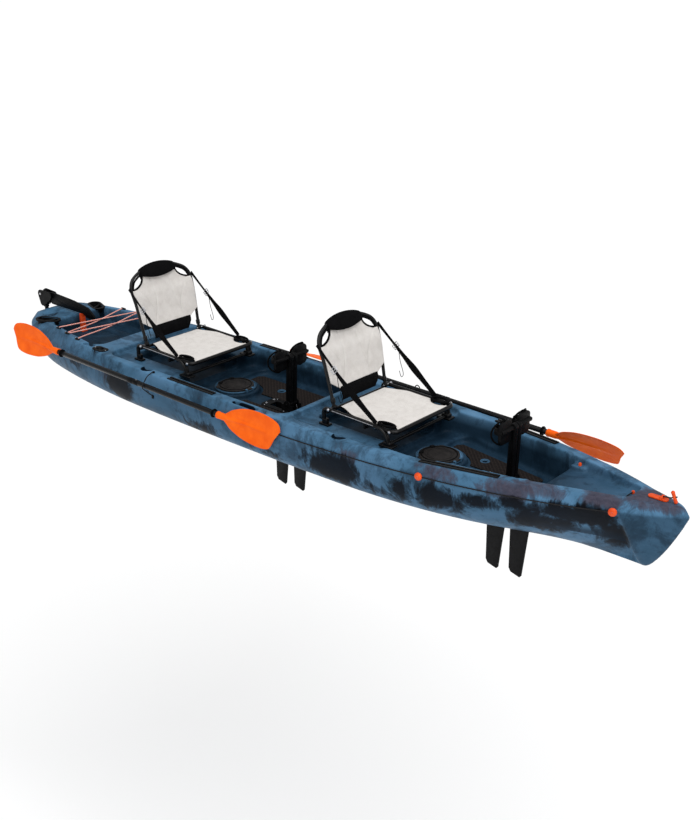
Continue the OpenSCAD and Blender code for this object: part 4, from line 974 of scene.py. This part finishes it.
GREY_PATCHES = [
    ((1240, -370, 300), (170, 70, 60), 0.95), ((1560, -300, 300), (190, 80, 70), 0.9),
    ((1690, -220, 325), (180, 90, 40), 0.9), ((700, -400, 250), (120, 60, 70), 0.5),
    ((2170, 0, 345), (170, 160, 40), 1.0), ((1960, -130, 335), (150, 80, 40), 0.9),
    ((120, -410, 200), (200, 60, 90), 0.5),
    ((-1250, -400, 200), (170, 60, 80), 0.5), ((1300, 350, 300), (200, 80, 60), 0.8),
    ((-600, 400, 250), (220, 80, 80), 0.6), ((-1900, 0, 230), (150, 220, 60), 0.4),
]


# Hollows in the gunwales and the stern deck, whose insides take painted shade: place, reach and the height of their
# rim
HOLLOWS = [(x, edge_y(x) - inset, rx, ry, edge_z(x))
           for x, inset, rx, ry in [(x, CUP_IN, 44, 44) for x in CUPS] + [(POCKET_X, TRACK_IN, 94, 21)]]
HOLLOWS.append((HANDLE_X, HANDLE_Y, 74, 44, deck_z(HANDLE_X, HANDLE_Y)))


def paint(ob, name, values):
    att = ob.data.attributes.new(name, "FLOAT", "POINT")
    att.data.foreach_set("value", values)


def shaded(ob, value):
    """Paints shade over a whole piece, as if it stood in the shade of a well."""
    paint(ob, "shade", [value] * len(ob.data.vertices))


def patch_values(points, patches):
    value = np.zeros(len(points))
    for centre, reach, strength in patches:
        d = np.sqrt((((points - np.array(centre)) / np.array(reach)) ** 2).sum(axis=1))
        value = np.maximum(value, strength * np.clip(1.35 - d, 0, 1))
    return value


# Paints the black and grey camo patches, and painted shade, as attributes of the hull's points
def paint_patches(ob):
    n = len(ob.data.vertices)
    co = np.empty(n * 3, np.float32)
    ob.data.vertices.foreach_get("co", co)
    co = co.reshape(-1, 3) * 1000
    x, y, z = co[:, 0], np.abs(co[:, 1]), co[:, 2]
    ends = np.linspace(STERN_X, BOW_X, 240)
    lines = (edge_y, edge_z, crease_z, keel_z)
    edge, top, crease, keel = [np.interp(x, ends, [f(v) for v in ends]) for f in lines]
    up = np.clip((z - keel) / (crease - keel), 0, 1)
    behind = np.clip((2128 - 70 * up - x) / 16, 0, 1)
    # Painted shade: the inside of the wells, below the deck edge, is darkened
    inside = np.clip((edge - y - 16) / 30, 0, 1) * np.clip((top - z - 6) / 60, 0, 1) * (x < 2090) * (z > 120)
    # Painted shade: the side below the crease is darker
    side = 0.34 * np.clip((crease - z + 6) / 40, 0, 1) * (1 - inside)
    # Painted shade on the bow facet ahead of the knuckle
    facet = 0.6 * (1 - behind) * np.clip((crease - z + 4) / 14, 0, 1) * np.clip((x - 1960) / 60, 0, 1)
    # Painted shade in the gunwale hollows and stern handle recesses
    hollow = np.zeros(n)
    for cx, cy, rx, ry, rim in HOLLOWS:
        d = ((x - cx) / rx) ** 2 + ((y - cy) / ry) ** 2
        below = np.clip((rim - z + 1) / 5, 0, 1) * (z > rim - 60)
        hollow = np.maximum(hollow, np.clip((1.16 - d) * 5, 0, 1) * below)
    # The black patches take the painted shade of the hollows too, so these come out black
    black = np.maximum(patch_values(co, BLACK_PATCHES) * np.where(x > 1600, behind, 1), 1.1 * hollow)
    grey = patch_values(co, GREY_PATCHES) * np.where(z < crease, behind, 1)
    shade = np.max([inside, side, facet, hollow], axis=0)
    for name, value in (("blotch_and_hollow_shade", black), ("haze", grey), ("shade", shade)):
        paint(ob, name, value.astype(np.float32))


def foot_pads():
    """Foam pads on the footwell floors, cut round the hatch boss, the drive and the scupper."""
    pads = []
    for end, scupper, aft, fore, wide, narrow in (("rear", SCUPPERS[0], -566, 20, 270, 262),
                                                  ("front", SCUPPERS[2], 922, 1490, 244, 166)):
        for s in (-1, 1):
            plan = [(aft, 62), (fore - 70, 62), (fore, 92), (fore, narrow - 12), (fore - 20, narrow),
                    (aft + 24, wide), (aft, wide - 24)]
            pad = convex("pad", [(px, s * py, z) for px, py in plan for z in (FLOOR_Z + 0.6, FLOOR_Z + 6.6)])
            cuts = [drum("cut", HATCHES[end], 0, 100, 260, 160, 64),
                    convex("cut", oval_points(DRIVES[end] - 10, 0, 372, 126, 100, 260)),
                    drum("cut", scupper[0], s * scupper[1], 100, 260, 26, 32)]
            combine(pad, cuts, "DIFFERENCE")
            pads.append(pad)
    place(join("foot_pads", pads), "brown_foam", "boat", ("deck_pads",))


def build_boat():
    hull = build_hull()
    paint_patches(hull)
    place(hull, "camo_shell", "boat", [n for n in NODES if n.split("_")[0] == "hull"], 48)
    foot_pads()


# Paddles: blades with a dished face, a rib and a socket for the shaft
BLADE_LEN, BLADE_W, BLADE_T, BLADE_FLAT, PADDLE_LEN = 460.0, 186.0, 7.0, 408.0, 2300.0
BLADE_TURN = {("port", False): 75, ("port", True): 44}
BLADE_LINE = ((0.0, 0.80), (0.09, 0.86), (0.16, 0.93), (0.25, 0.98), (0.34, 1.0), (0.5, 0.97), (0.66, 0.87),
              (0.81, 0.66), (0.88, 0.52), (0.94, 0.34), (1.0, 0.17))
TIP_SLANT = 50.0


def paddle_axes(side):
    _, tip, head = PADDLES[side]
    along = (head - tip).normalized()
    level = Vector((-along.y, along.x, 0)).normalized()
    return tip, along, level, along.cross(level)


def blade(name, side, fore):
    tip, along, level, rise = paddle_axes(side)
    tilt = radians(90 - 11 + BLADE_TURN.get((side, fore), 0))
    across = level * cos(tilt) + rise * sin(tilt)
    normal = along.cross(across)
    origin, ahead = (tip, along) if not fore else (tip + along * PADDLE_LEN, -along)

    def half_w(u):
        k = max(i for i, (at, _) in enumerate(BLADE_LINE[:-1]) if at <= u)
        (u0, w0), (u1, w1) = BLADE_LINE[k], BLADE_LINE[k + 1]
        before, after = BLADE_LINE[max(0, k - 1)], BLADE_LINE[min(len(BLADE_LINE) - 1, k + 2)]
        m0, m1 = (w1 - before[1]) / (u1 - before[0]), (after[1] - w0) / (after[0] - u0)
        t, d = (u - u0) / (u1 - u0), u1 - u0
        w = (w0 * (1 + 2 * t) * (1 - t) ** 2 + d * m0 * t * (1 - t) ** 2 + w1 * t * t * (3 - 2 * t)
             + d * m1 * t * t * (t - 1))
        tip_round = sqrt(max(0, 1 - (1 - min(1, u / 0.1)) ** 2))
        return BLADE_W / 2 * w * mix(0.5, 1, tip_round)

    def face(u, v, k):
        c = 2 * v - 1
        y = c * half_w(u)
        dish = -9 * sin(pi * u) * (1 - c * c)
        rim = sqrt(max(0, 1 - abs(c) ** 8)) * min(1, u / 0.02) ** 0.5
        rib = 6.0 * exp(-(y / 8) ** 2) * ease(0.10, 0.5, u)
        rib += 2.2 * exp(-((abs(y) - 34 * u) / 9) ** 2) * u * (1 - ease(0.7, 0.86, u))
        thick = BLADE_T / 2 * (0.35 + 0.65 * rim) * (1 + 1.2 * u * (1 - abs(c))) + rib * rim
        along_x = BLADE_FLAT * u + 2 + TIP_SLANT * (1 - v) * (1 - u) ** 3
        return (origin + ahead * along_x + across * (y + 6 * sin(pi * u))
                + normal * (k * thick + dish + 4))

    body = slab(name, 72, 44, face)
    neck = [(BLADE_FLAT - 74, 5), (BLADE_FLAT - 60, 9), (BLADE_FLAT - 20, 15.5), (BLADE_FLAT + 2, 19),
            (BLADE_LEN - 14, 19.2), (BLADE_LEN - 10, 20.6), (BLADE_LEN - 2, 20.6), (BLADE_LEN, 19.4)]
    return join(name, [body, lathe("neck", neck, origin, ahead)])


def build_paddles():
    for side in PADDLES:
        body = "paddle_" + side
        parts = [blade("blade", side, fore) for fore in (False, True)]
        place(join(body + "_blade_pair", parts), "orange_blade", body, (body + "_blades",), 50)
        tip, along, _, rise = paddle_axes(side)
        mid = tip + along * (PADDLE_LEN / 2)
        half = [(2, 15.6), (4, 16.6), (44, 16.6), (46, 15.1)]
        ferrule = [(-d, r) for d, r in reversed(half)] + half
        place(lathe(body + "_ferrule", ferrule, mid, along), "black_plastic", body)
        place(lathe(body + "_button", [(14, 4), (17, 4), (18, 2.5)], mid + along * 22, rise), "steel", body)


# Small fittings that the CAD leaves plain
UP = Vector((0, 0, 1))


def screw(at, axis, r, rise):
    profile = ((0.5, 1), (1, 0.72), (0.9, 0.5), (0.45, 0.42), (0.4, 0))
    return lathe("screw", [(-1, r)] + [(rise * d, r * w) for d, w in profile], at, axis, 16)


def hoop(x, y, z, r, thick, n=40, sides=10):
    return tube("hoop", disc(x, y, z, r, n), thick, sides, True)


def deck_rims():
    rims = [hoop(TANK_SCUPPER_X, 0, TANK_Z + 1.5, 18.5, 3.0)]
    for x, y in SCUPPERS:
        rims += [hoop(x, y, FLOOR_Z + 5.2, 21.5, 3.6), hoop(x, y, FLOOR_Z + 1.5, 17, 3.0)]
    # The scupper rims take painted shade all over
    shaded(place(join("scupper_rims", rims), "camo_shell", "boat", (), 60), 0.5)
    rims = [hoop(x, 0, PLATFORM_Z + 5.4, 118, 4.2, 64) for x in HATCHES.values()]
    # The hatch rims take painted shade all over
    shaded(place(join("hatch_rims", rims), "camo_shell", "boat", (), 60), 0.45)
    flanges = [handle_oval("flange", s, 172, 90, -6, 2.6) for s in (-1, 1)]
    for s, plate in zip((-1, 1), flanges):
        combine(plate, [handle_oval("hole", s, 141, 63, -20, 20)], "DIFFERENCE")
    place(join("handle_flanges", flanges), "black_plastic", "boat")


def lid_trims():
    for end, x in HATCHES.items():
        c = Vector((x, 0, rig.box("hatch_lid_" + end)[1][2] * 1000))
        parts = [hoop(x, 0, c.z - 1.2, 92, 2.6, 56, 8), hoop(x, 0, c.z - 1.4, 60, 1.8, 48, 8)]
        for deg in (150, 210):
            d = Vector((cos(radians(deg)), sin(radians(deg)), 0))
            w = Vector((-d.y, d.x, 0))
            tab = [c + d * r + w * k - UP * z for r in (80, 101) for k in (-11, 11) for z in (3, -3.4)]
            parts.append(convex("tab", tab))
        place(join("hatch_lid_%s_trim" % end, parts), "black_plastic", "hatch_lid_" + end, (), 45)


def deck_screws():
    screws = []
    for s in (-1, 1):
        for xm, length in TRACKS:
            ends = (xm - length / 2, xm + length / 2)
            a, b = [Vector((x, s * (edge_y(x) - TRACK_IN), edge_z(x) - 1.6)) for x in ends]
            screws += [(a.lerp(b, t), 3.8, 2.0) for t in (0.05, 0.35, 0.65, 0.95)]
        rod_y = s * (edge_y(ROD_X) - ROD_IN)
        screws += [((ROD_X + dx, rod_y, edge_z(ROD_X) + 3.2), 4.0, 2.2) for dx in (-48, 48)]
        for x in ANCHOR_X:
            screws += [((x + dx, s * (edge_y(x) - 8), edge_z(x) + 9.4), 3.2, 1.8) for dx in (-9, 19)]
        for x in DRIVES.values():
            screws += [((x + dx, s * 53, FLOOR_Z + 10.4), 4.2, 2.4) for dx in (-160, -10, 140)]
    place(join("deck_screws", [screw(at, UP, r, rise) for at, r, rise in screws]), "steel", "boat", (), 45)


def deck_buttons():
    caps, domes = [], []
    dome = [(-2, 17), (1, 20), (7, 20), (12, 16.5), (14.5, 10), (15, 3)]
    for x in (DRIVES["front"] - 285, BOW_X - 292):
        n = Vector((crease_y(x - 1) - crease_y(x + 1), -2, 0)).normalized()
        caps.append(screw(line_point(x) + n * 9, n, 5.5, 3.0))
        domes.append(lathe("dome", dome, line_point(x) - n * 3, n, 32))
    for x, y, z in ((1681, 162, 313), (2026, 44, 322)):
        caps += [screw((x, s * y, z), UP, 4.5, 2.4) for s in (1, -1)]
    place(join("button_caps", caps), "steel", "boat", (), 45)
    place(join("anchor_domes", domes), "orange_plastic", "boat", (), 45)


def stirrups():
    for end in DRIVES:
        for s, side in ((-1, "starboard"), (1, "port")):
            node = "drive_%s_pedal_%s" % (end, side)
            lo, hi = [Vector(c) * 1000 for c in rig.box(node)]
            mid = Vector((hi.x - 26, s * 86, (lo.z + hi.z) / 2))
            loop = [mid + Vector((-30 * abs(c) ** 1.5, 56 * c, 62 * d)) for c, d in circle(20)]
            ob = tube(node.replace("drive", "stirrup"), path_through(loop, 3, True), 4.6, 10, True)
            place(ob, "black_rubber", BODY_OF[node], (), 60)


def rudder_trims():
    cheeks, caps = [], []
    for s in (-1, 1):
        lobes = ((-2325, 388, 29), (-2312, 334, 24), (-2232, 392, 21))
        cheeks.append(convex("cheek", [(x + r * c, y, z + r * d) for x, z, r in lobes for c, d in circle(24)
                                       for y in (s * 19.5, s * 25)]))
        caps.append(lathe("cap", [(-1, 8), (2, 8), (3.5, 6), (4, 0)], (-2327, s * 25.2, 390), (0, s, 0), 20))
    place(join("rudder_cheeks", cheeks), "black_plastic", "rudder_head")
    place(join("rudder_bolt_caps", caps), "steel", "rudder_head", (), 45)


# Seats: tube frames, slung pan and back, lumbar band, head pad, hand loops and side straps
LEAN, BACK_SET = radians(12.5), 36.0
POST_Y, POST_R, RAIL_Y, RAIL_Z, RAIL_R, PIVOT_Z = 214.5, 9.0, 239.0, 378.0, 11.0, 382.0
FOOT_H, CORNER_R, CORNER_H, TOP_R, TOP_H = 6.0, 90.0, 307.6, 339.0, 92.0
TURN = radians(60)
BEND_H, BEND_BACK, BEND_SPAN = 230.0, 40.0, 216.0


def back_point(x, a, h, d):
    """A point of a seat back, whose posts splay and bend aft: a across, h up the lean, d out of the front."""
    bend = BEND_BACK * clamp01((h - BEND_H) / BEND_SPAN) ** 1.5
    return Vector((x - BACK_SET - bend - sin(LEAN) * h + cos(LEAN) * d, a * (0.96 + 0.00034 * h),
                   PIVOT_Z + cos(LEAN) * h + sin(LEAN) * d))


def corner_at(t, inset=0):
    r = CORNER_R - inset
    return POST_Y - CORNER_R + r * cos(t), CORNER_H + r * sin(t)


def top_at(t, inset=0):
    r = TOP_R - inset
    return r * cos(t), TOP_H + r * sin(t)


def arch_line():
    """The bent tube of a seat back, as (across, up) pairs from one foot to the other."""
    half = [(POST_Y, mix(FOOT_H, CORNER_H, k / 10)) for k in range(10)]
    half += [corner_at(TURN * k / 8) for k in range(9)]
    half += [top_at(mix(TURN, pi / 2, k / 12)) for k in range(1, 13)]
    return [(-a, h) for a, h in half] + [(a, h) for a, h in reversed(half[:-1])]


def arch_h(a):
    a = abs(a)
    if a > TOP_R * cos(TURN):
        return CORNER_H + sqrt(max(0, CORNER_R ** 2 - (a - POST_Y + CORNER_R) ** 2))
    return TOP_H + sqrt(TOP_R ** 2 - a * a)


CUT_H, CUT_A, PANEL_TOP = 74.0, 100.0, 392.0
PANEL_ROWS = [(mix(84, 128, k / 8), mix(146, 212, k / 8)) for k in range(8)]
PANEL_ROWS += [(mix(128, PANEL_TOP - CUT_H, k / 22), 212.0) for k in range(22)]
PANEL_ROWS += [(PANEL_TOP - CUT_H * cos(radians(5 * k)), 212 - CUT_A * sin(radians(5 * k)))
               for k in range(19)]


def groove(distance, width=4.5):
    return exp(-(distance / width) ** 2)


def panel_relief(a, h):
    """How far the back cloth stands off its plane: the sag of a slung cloth, seams and soft creases."""
    a = abs(a)
    sag = -17 * cos(pi / 2 * min(1, a / 214)) * sin(pi * clamp01((h - 40) / 380))
    seams = 3.4 * groove(a - 60 - 0.0014 * (h - 300) ** 2)
    rise = clamp01((h - 165) / 190)
    seams += 3.0 * groove(a - 100 - 105 * rise ** 1.7) * (1 if h < 345 else 0)
    creases = 1.1 * sin(h / 17 + a / 31) * ease(330, 160, h) + 0.8 * sin(a / 19 + h / 55)
    return sag - seams + creases


def stand(h):
    """How far in front of the posts the cloth hangs; its top tucks back under the head pad."""
    return mix(12.0, 3.0, ease(268, 330, h))


def back_cloth(x, name):
    rows = len(PANEL_ROWS) - 1

    def face(u, v, k):
        h, w = PANEL_ROWS[round(v * rows)]
        a = (2 * u - 1) * w
        edge = sqrt(max(0, 1 - abs(2 * u - 1) ** 12))
        puff = (2.2 + 3.4 * edge) * (0.65 if v in (0, 1) else 1)
        return back_point(x, a, h, stand(h) + panel_relief(a, h) * (0.35 + 0.65 * edge) + k * puff)

    return slab(name, 104, rows, face)


def lumbar_band(x, name):
    def face(u, v, k):
        h = mix(18, 96, v)
        a = (2 * u - 1) * mix(136, 152, ease(0, 0.8, v))
        soft = (1 - abs(2 * u - 1) ** 8) ** 0.5 * (1 - abs(2 * v - 1) ** 6) ** 0.5
        crease = 1.4 * sin(a / 23 + h / 9) * soft
        d = stand(h) + panel_relief(a, h) + 2 + k * (2.5 + 8.5 * soft) + crease
        # The low edge tucks back, so that the folded seat back stays clear of the pan.
        tuck = 0.5 * h - (10.5 if k > 0 else 15.0)
        near = max(0.0, 1 - abs(d - tuck) / 8)
        return back_point(x, a, h, min(d, tuck) - 2 * near * near)

    return slab(name, 64, 18, face)


def head_pad(x, name):
    half = 120.0

    def face(u, v, inner):
        a = (2 * u - 1) * half
        top, taper = arch_h(a), (1 - abs(2 * u - 1) ** 10) ** 0.5
        low = 364 + 22 * (a / half) ** 2
        r = 10.2 if inner else 11.2 + 3.8 * taper
        if v < 0.6:
            t = v / 0.6
            swell = 7.5 * taper * sin(pi * mix(0.08, 0.9, t)) ** 0.7
            h, d = mix(low, top, t), (8.6 if inner else r + swell)
        elif v < 0.85:
            t = (v - 0.6) / 0.25 * pi
            h, d = top + r * sin(t), r * cos(t)
        else:
            h, d = mix(top, top - 40, (v - 0.85) / 0.15), -r
        return back_point(x, a, h, d)

    return slab(name, 48, 40, face, (False, True))


def hand_loop(x, s, name):
    ring = [(212 - (CUT_A - 1) * sin(radians(t)), PANEL_TOP + 3 - CUT_H * cos(radians(t)))
            for t in (8, 26, 44, 62, 80)]
    ring += [top_at(radians(t), 14) for t in (71, 65)]
    ring += [corner_at(radians(t), 14) for t in (52, 38, 24)]
    line = path_through([back_point(x, s * a, h, 1.5) for a, h in ring], 5, True)
    return tube(name, line, 6.2, 12, True)


PAN_X0, PAN_X1, NOTCH_X, NOTCH_L, NOTCH_D = -20.0, 384.0, 322.0, 52.0, 46.0


def pan_half(px):
    cut = sqrt(max(0, 1 - ((px - NOTCH_X) / NOTCH_L) ** 2))
    round_front = ease(PAN_X1 - 26, PAN_X1, px)
    return mix(180, 226, ease(PAN_X0, 120, px)) - NOTCH_D * cut - 22 * round_front


def pan_cloth(x, name):
    def face(u, v, k):
        px = mix(PAN_X0, PAN_X1, u)
        y = (2 * v - 1) * pan_half(px)
        rim = (1 - abs(2 * u - 1) ** 14) ** 0.5 * (1 - abs(2 * v - 1) ** 10) ** 0.5
        sag = 7 * sin(pi * u) * cos(pi / 2 * (2 * v - 1))
        seams = 2.8 * groove(abs(y) - 82 - 16 * sin(pi * u), 4)
        seams += 2.4 * groove(px - 300 + abs(y) * 0.05, 4)
        creases = 1.0 * sin(px / 21 + y / 47) + 0.7 * sin(y / 17 - px / 61)
        z = RAIL_Z - 8 * u + 3 - sag
        return Vector((x + px, y, z + (8.5 * rim - (seams + creases) * rim if k > 0 else -9 * rim)))

    return slab(name, 84, 92, face)


def pan_piping(x, name):
    rim = [(px, pan_half(px) + 0.5) for px in [mix(PAN_X0, PAN_X1 - 4, k / 60) for k in range(61)]]
    line = [(px, -y) for px, y in rim] + [(PAN_X1 + 1, mix(-200, 200, k / 12)) for k in range(13)]
    line += reversed(rim)
    return tube(name, [(x + px, y, RAIL_Z + 3 - 8 * px / PAN_X1) for px, y in line], 4.2, 8)


def pan_loop(x, s, name):
    pts = [(x + NOTCH_X + (NOTCH_L - 2) * c, s * (216 + 24 * d), RAIL_Z + 11 + 2 * d) for c, d in circle(14)]
    return tube(name, path_through(pts, 4, True), 6.4, 12, True)


def block(name, lo, hi, bevel):
    """A solid block with rounded edges."""
    ob = convex(name, box_points(lo[0], hi[0], lo[1], hi[1], lo[2], hi[2]))
    bm = bmesh.new()
    bm.from_mesh(ob.data)
    discard(ob)
    bmesh.ops.dissolve_limit(bm, angle_limit=0.01, verts=bm.verts, edges=bm.edges)
    round_edges(bm, bm.edges[:], bevel, 3)
    return from_bmesh(name, bm)


def base_frame(x, name):
    def hoop_of(half, bends, r):
        line = [(x + px, RAIL_Y, pz) for px, pz in half]
        line += [(px, -y, pz) for px, y, pz in reversed(line)]
        return tube("hoop", rounded_path(line, bends + bends[::-1]), r, 16)

    parts = [hoop_of([(-75, 300), (-80, RAIL_Z), (393, RAIL_Z - 8)], (30, 34), RAIL_R),
             hoop_of([(264, 371), (338, 370), (353, 299)], (46, 14), RAIL_R - 1.5)]
    for px, drop in ((196, 34), (-60, 20)):
        parts.append(tube("bar", [(x + px, -RAIL_Y, RAIL_Z - drop), (x + px, RAIL_Y, RAIL_Z - drop)], 8))
    for s in (-1, 1):
        parts.append(tube("post", [(x + 196, s * RAIL_Y, RAIL_Z - drop) for drop in (36, 4)], 7))
        y0, y1 = sorted((s * (RAIL_Y - 17), s * (RAIL_Y + 17)))
        for x0, x1, grow, z0, z1, bevel in ((-100, -36, 0, 0.4, 12.4, 3), (-84, -50, -5, 10, 38, 5),
                                            (306, 390, 9, 0.4, 12, 4), (330, 376, 3, 2, 30, 8)):
            lo, hi = (x + x0, y0 - grow, LEDGE_Z + z0), (x + x1, y1 + grow, LEDGE_Z + z1)
            parts.append(block("foot", lo, hi, bevel))
        hub = (x + 275, s * RAIL_Y, RAIL_Z - 5)
        parts.append(lathe("hub", [(-13, 13), (-12, 15), (12, 15), (13, 13)], hub, (0, 1, 0)))
        arm = [(x + px, s * (RAIL_Y + out), z)
               for px, out, z in ((268, 15, 377), (316, 17, 374), (344, 17, 350), (360, 16, 304))]
        parts.append(tube("arm", path_through(arm), 7.5))
    return join(name, parts)


def strap_pieces(x, s, end):
    """Webbing from the seat back to the leg, its buckle, and the loose tail under it."""
    a = back_point(x, s * (POST_Y + POST_R - 1.0), 336, 0)
    b = Vector((x + 275, s * (RAIL_Y + 2), RAIL_Z + RAIL_R + 2.6))
    out = Vector((0, s, 0))
    up = (b - a).normalized().cross(out).normalized()

    def at(t):
        return a.lerp(b, t) + Vector((0, s * 5 * sin(pi * t), -7 * sin(pi * t)))

    def wide(t):
        return mix(10, 13, ease(0.28, 0.36, t)) + 6.5 * groove(t - 0.62, 0.13)

    def face(u, v, k):
        twist = 3.0 * sin(2 * pi * u) * (2 * v - 1)
        return at(u) + up * wide(u) * (1 - 2 * v) + out * (k * 2.2 + twist)

    tag = "_%s_%s" % (end, "port" if s > 0 else "starboard")
    web = slab("strap" + tag, 60, 8, face, (1, 0))
    c, n = at(0.31) + out * 3, (b - a).normalized()
    parts = [tube("bar", [c + n * k + up * 21, c + n * k - up * 21], 2.4, 10) for k in (-13, 0, 13)]
    parts += [tube("bar", [c + up * k - n * 14, c + up * k + n * 14], 2.4, 10) for k in (-21, 21)]
    buckle = join("buckle" + tag, parts)
    low = at(0.36)
    drops = ((0, 2, 0), (10, 3, -60), (34, 2, -128), (22, 1, -150), (6, 3, -120))
    tail = tube("tail" + tag, path_through([low + Vector((dx, s * dy, dz)) for dx, dy, dz in drops]), 1.7, 8)
    start, finish = b * 0.001, a * 0.001
    length = (b - a).length * 0.001
    place(web, "black_webbing", None, ("seat_%s_straps" % end,), 50)
    place(buckle, "steel", None, (), 50)
    place(tail, "black_webbing", None, (), 60)
    for ob in (web, buckle, tail):
        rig.blend(ob, "boat", "seat_back_" + end, start, finish)
    width = 0.002 * sum(wide(k / 60) for k in range(61)) / 61
    rests_on = ["seat_%s_base" % end, "seat_%s_arch" % end]
    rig.sheet(web, (width, length), "stretched", rests_on, None, [buckle, tail])


def build_seat(end):
    x, back = SEATS[end], "seat_back_" + end
    seat = "seat_%s_" % end
    place(base_frame(x, seat + "base"), "black_tube", "boat", (seat + "frame",), 45)
    arch = [tube("arch", [back_point(x, a, h, 0) for a, h in arch_line()], POST_R, 16)]
    for s in (-1, 1):
        eye = (x - BACK_SET, s * 0.96 * POST_Y, PIVOT_Z)
        arch.append(lathe("eye", [(-11, 11), (-10, 12.5), (10, 12.5), (11, 11)], eye, (0, 1, 0)))
        foot, lean = back_point(x, s * POST_Y, 24, 0), (-sin(LEAN), 0, cos(LEAN))
        arch.append(lathe("collar", [(0, 11), (2, 12.5), (24, 12.5), (26, 11)], foot, lean))
    place(join(seat + "arch", arch), "black_tube", back, (seat + "back_frame",), 45)
    cloth = place(back_cloth(x, seat + "back_cloth"), "cream_fabric", back, (seat + "back_panel",), 60)
    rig.padded(cloth, 0.35)
    for s, side in ((-1, "starboard"), (1, "port")):
        place(hand_loop(x, s, seat + "hand_loop_" + side), "black_webbing", back, (), 60)
        place(pan_loop(x, s, seat + "pan_loop_" + side), "black_webbing", "boat", (), 60)
        trim = [(x + mix(-14, 258, k / 10), s * (RAIL_Y + 10.2), RAIL_Z + 3 - 6 * k / 10) for k in range(11)]
        place(tube(seat + "rail_trim_" + side, trim, 2.4, 8), "steel", "boat", (), 60)
        strap_pieces(x, s, end)
    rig.padded(place(lumbar_band(x, seat + "lumbar"), "black_webbing", back, (), 60), 0.6)
    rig.padded(place(head_pad(x, seat + "head_rest"), "black_webbing", back, (seat + "head_pad",), 60), 0.6)
    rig.padded(place(pan_cloth(x, seat + "pan_cloth"), "cream_fabric", "boat", (seat + "pan",), 60), 0.4)
    place(pan_piping(x, seat + "pan_piping"), "black_webbing", "boat", (), 60)


SLOT_OF = {p["node"]: p["material_slot"] for p in frame["record"]["subparts"]}
SLOT_OF["hatch_rings"] = "camo_shell"

build_stage()
build_cords()
build_boat()
for end in SEATS:
    build_seat(end)
build_paddles()
deck_rims()
lid_trims()
deck_screws()
deck_buttons()
stirrups()
rudder_trims()
for node, ob in NODES.items():
    if not ob.hide_render:
        rounding = (3.2, 3) if "_fin_" in node or node == "rudder_blade" else (1.2, 2)
        refine(node, SLOT_OF[node], *rounding)

lo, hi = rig.bounds()
with open("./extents.json", "w") as f:
    json.dump({"cad": [list(CAD_BOX[0]), list(CAD_BOX[1])], "visual": [list(lo), list(hi)]}, f)
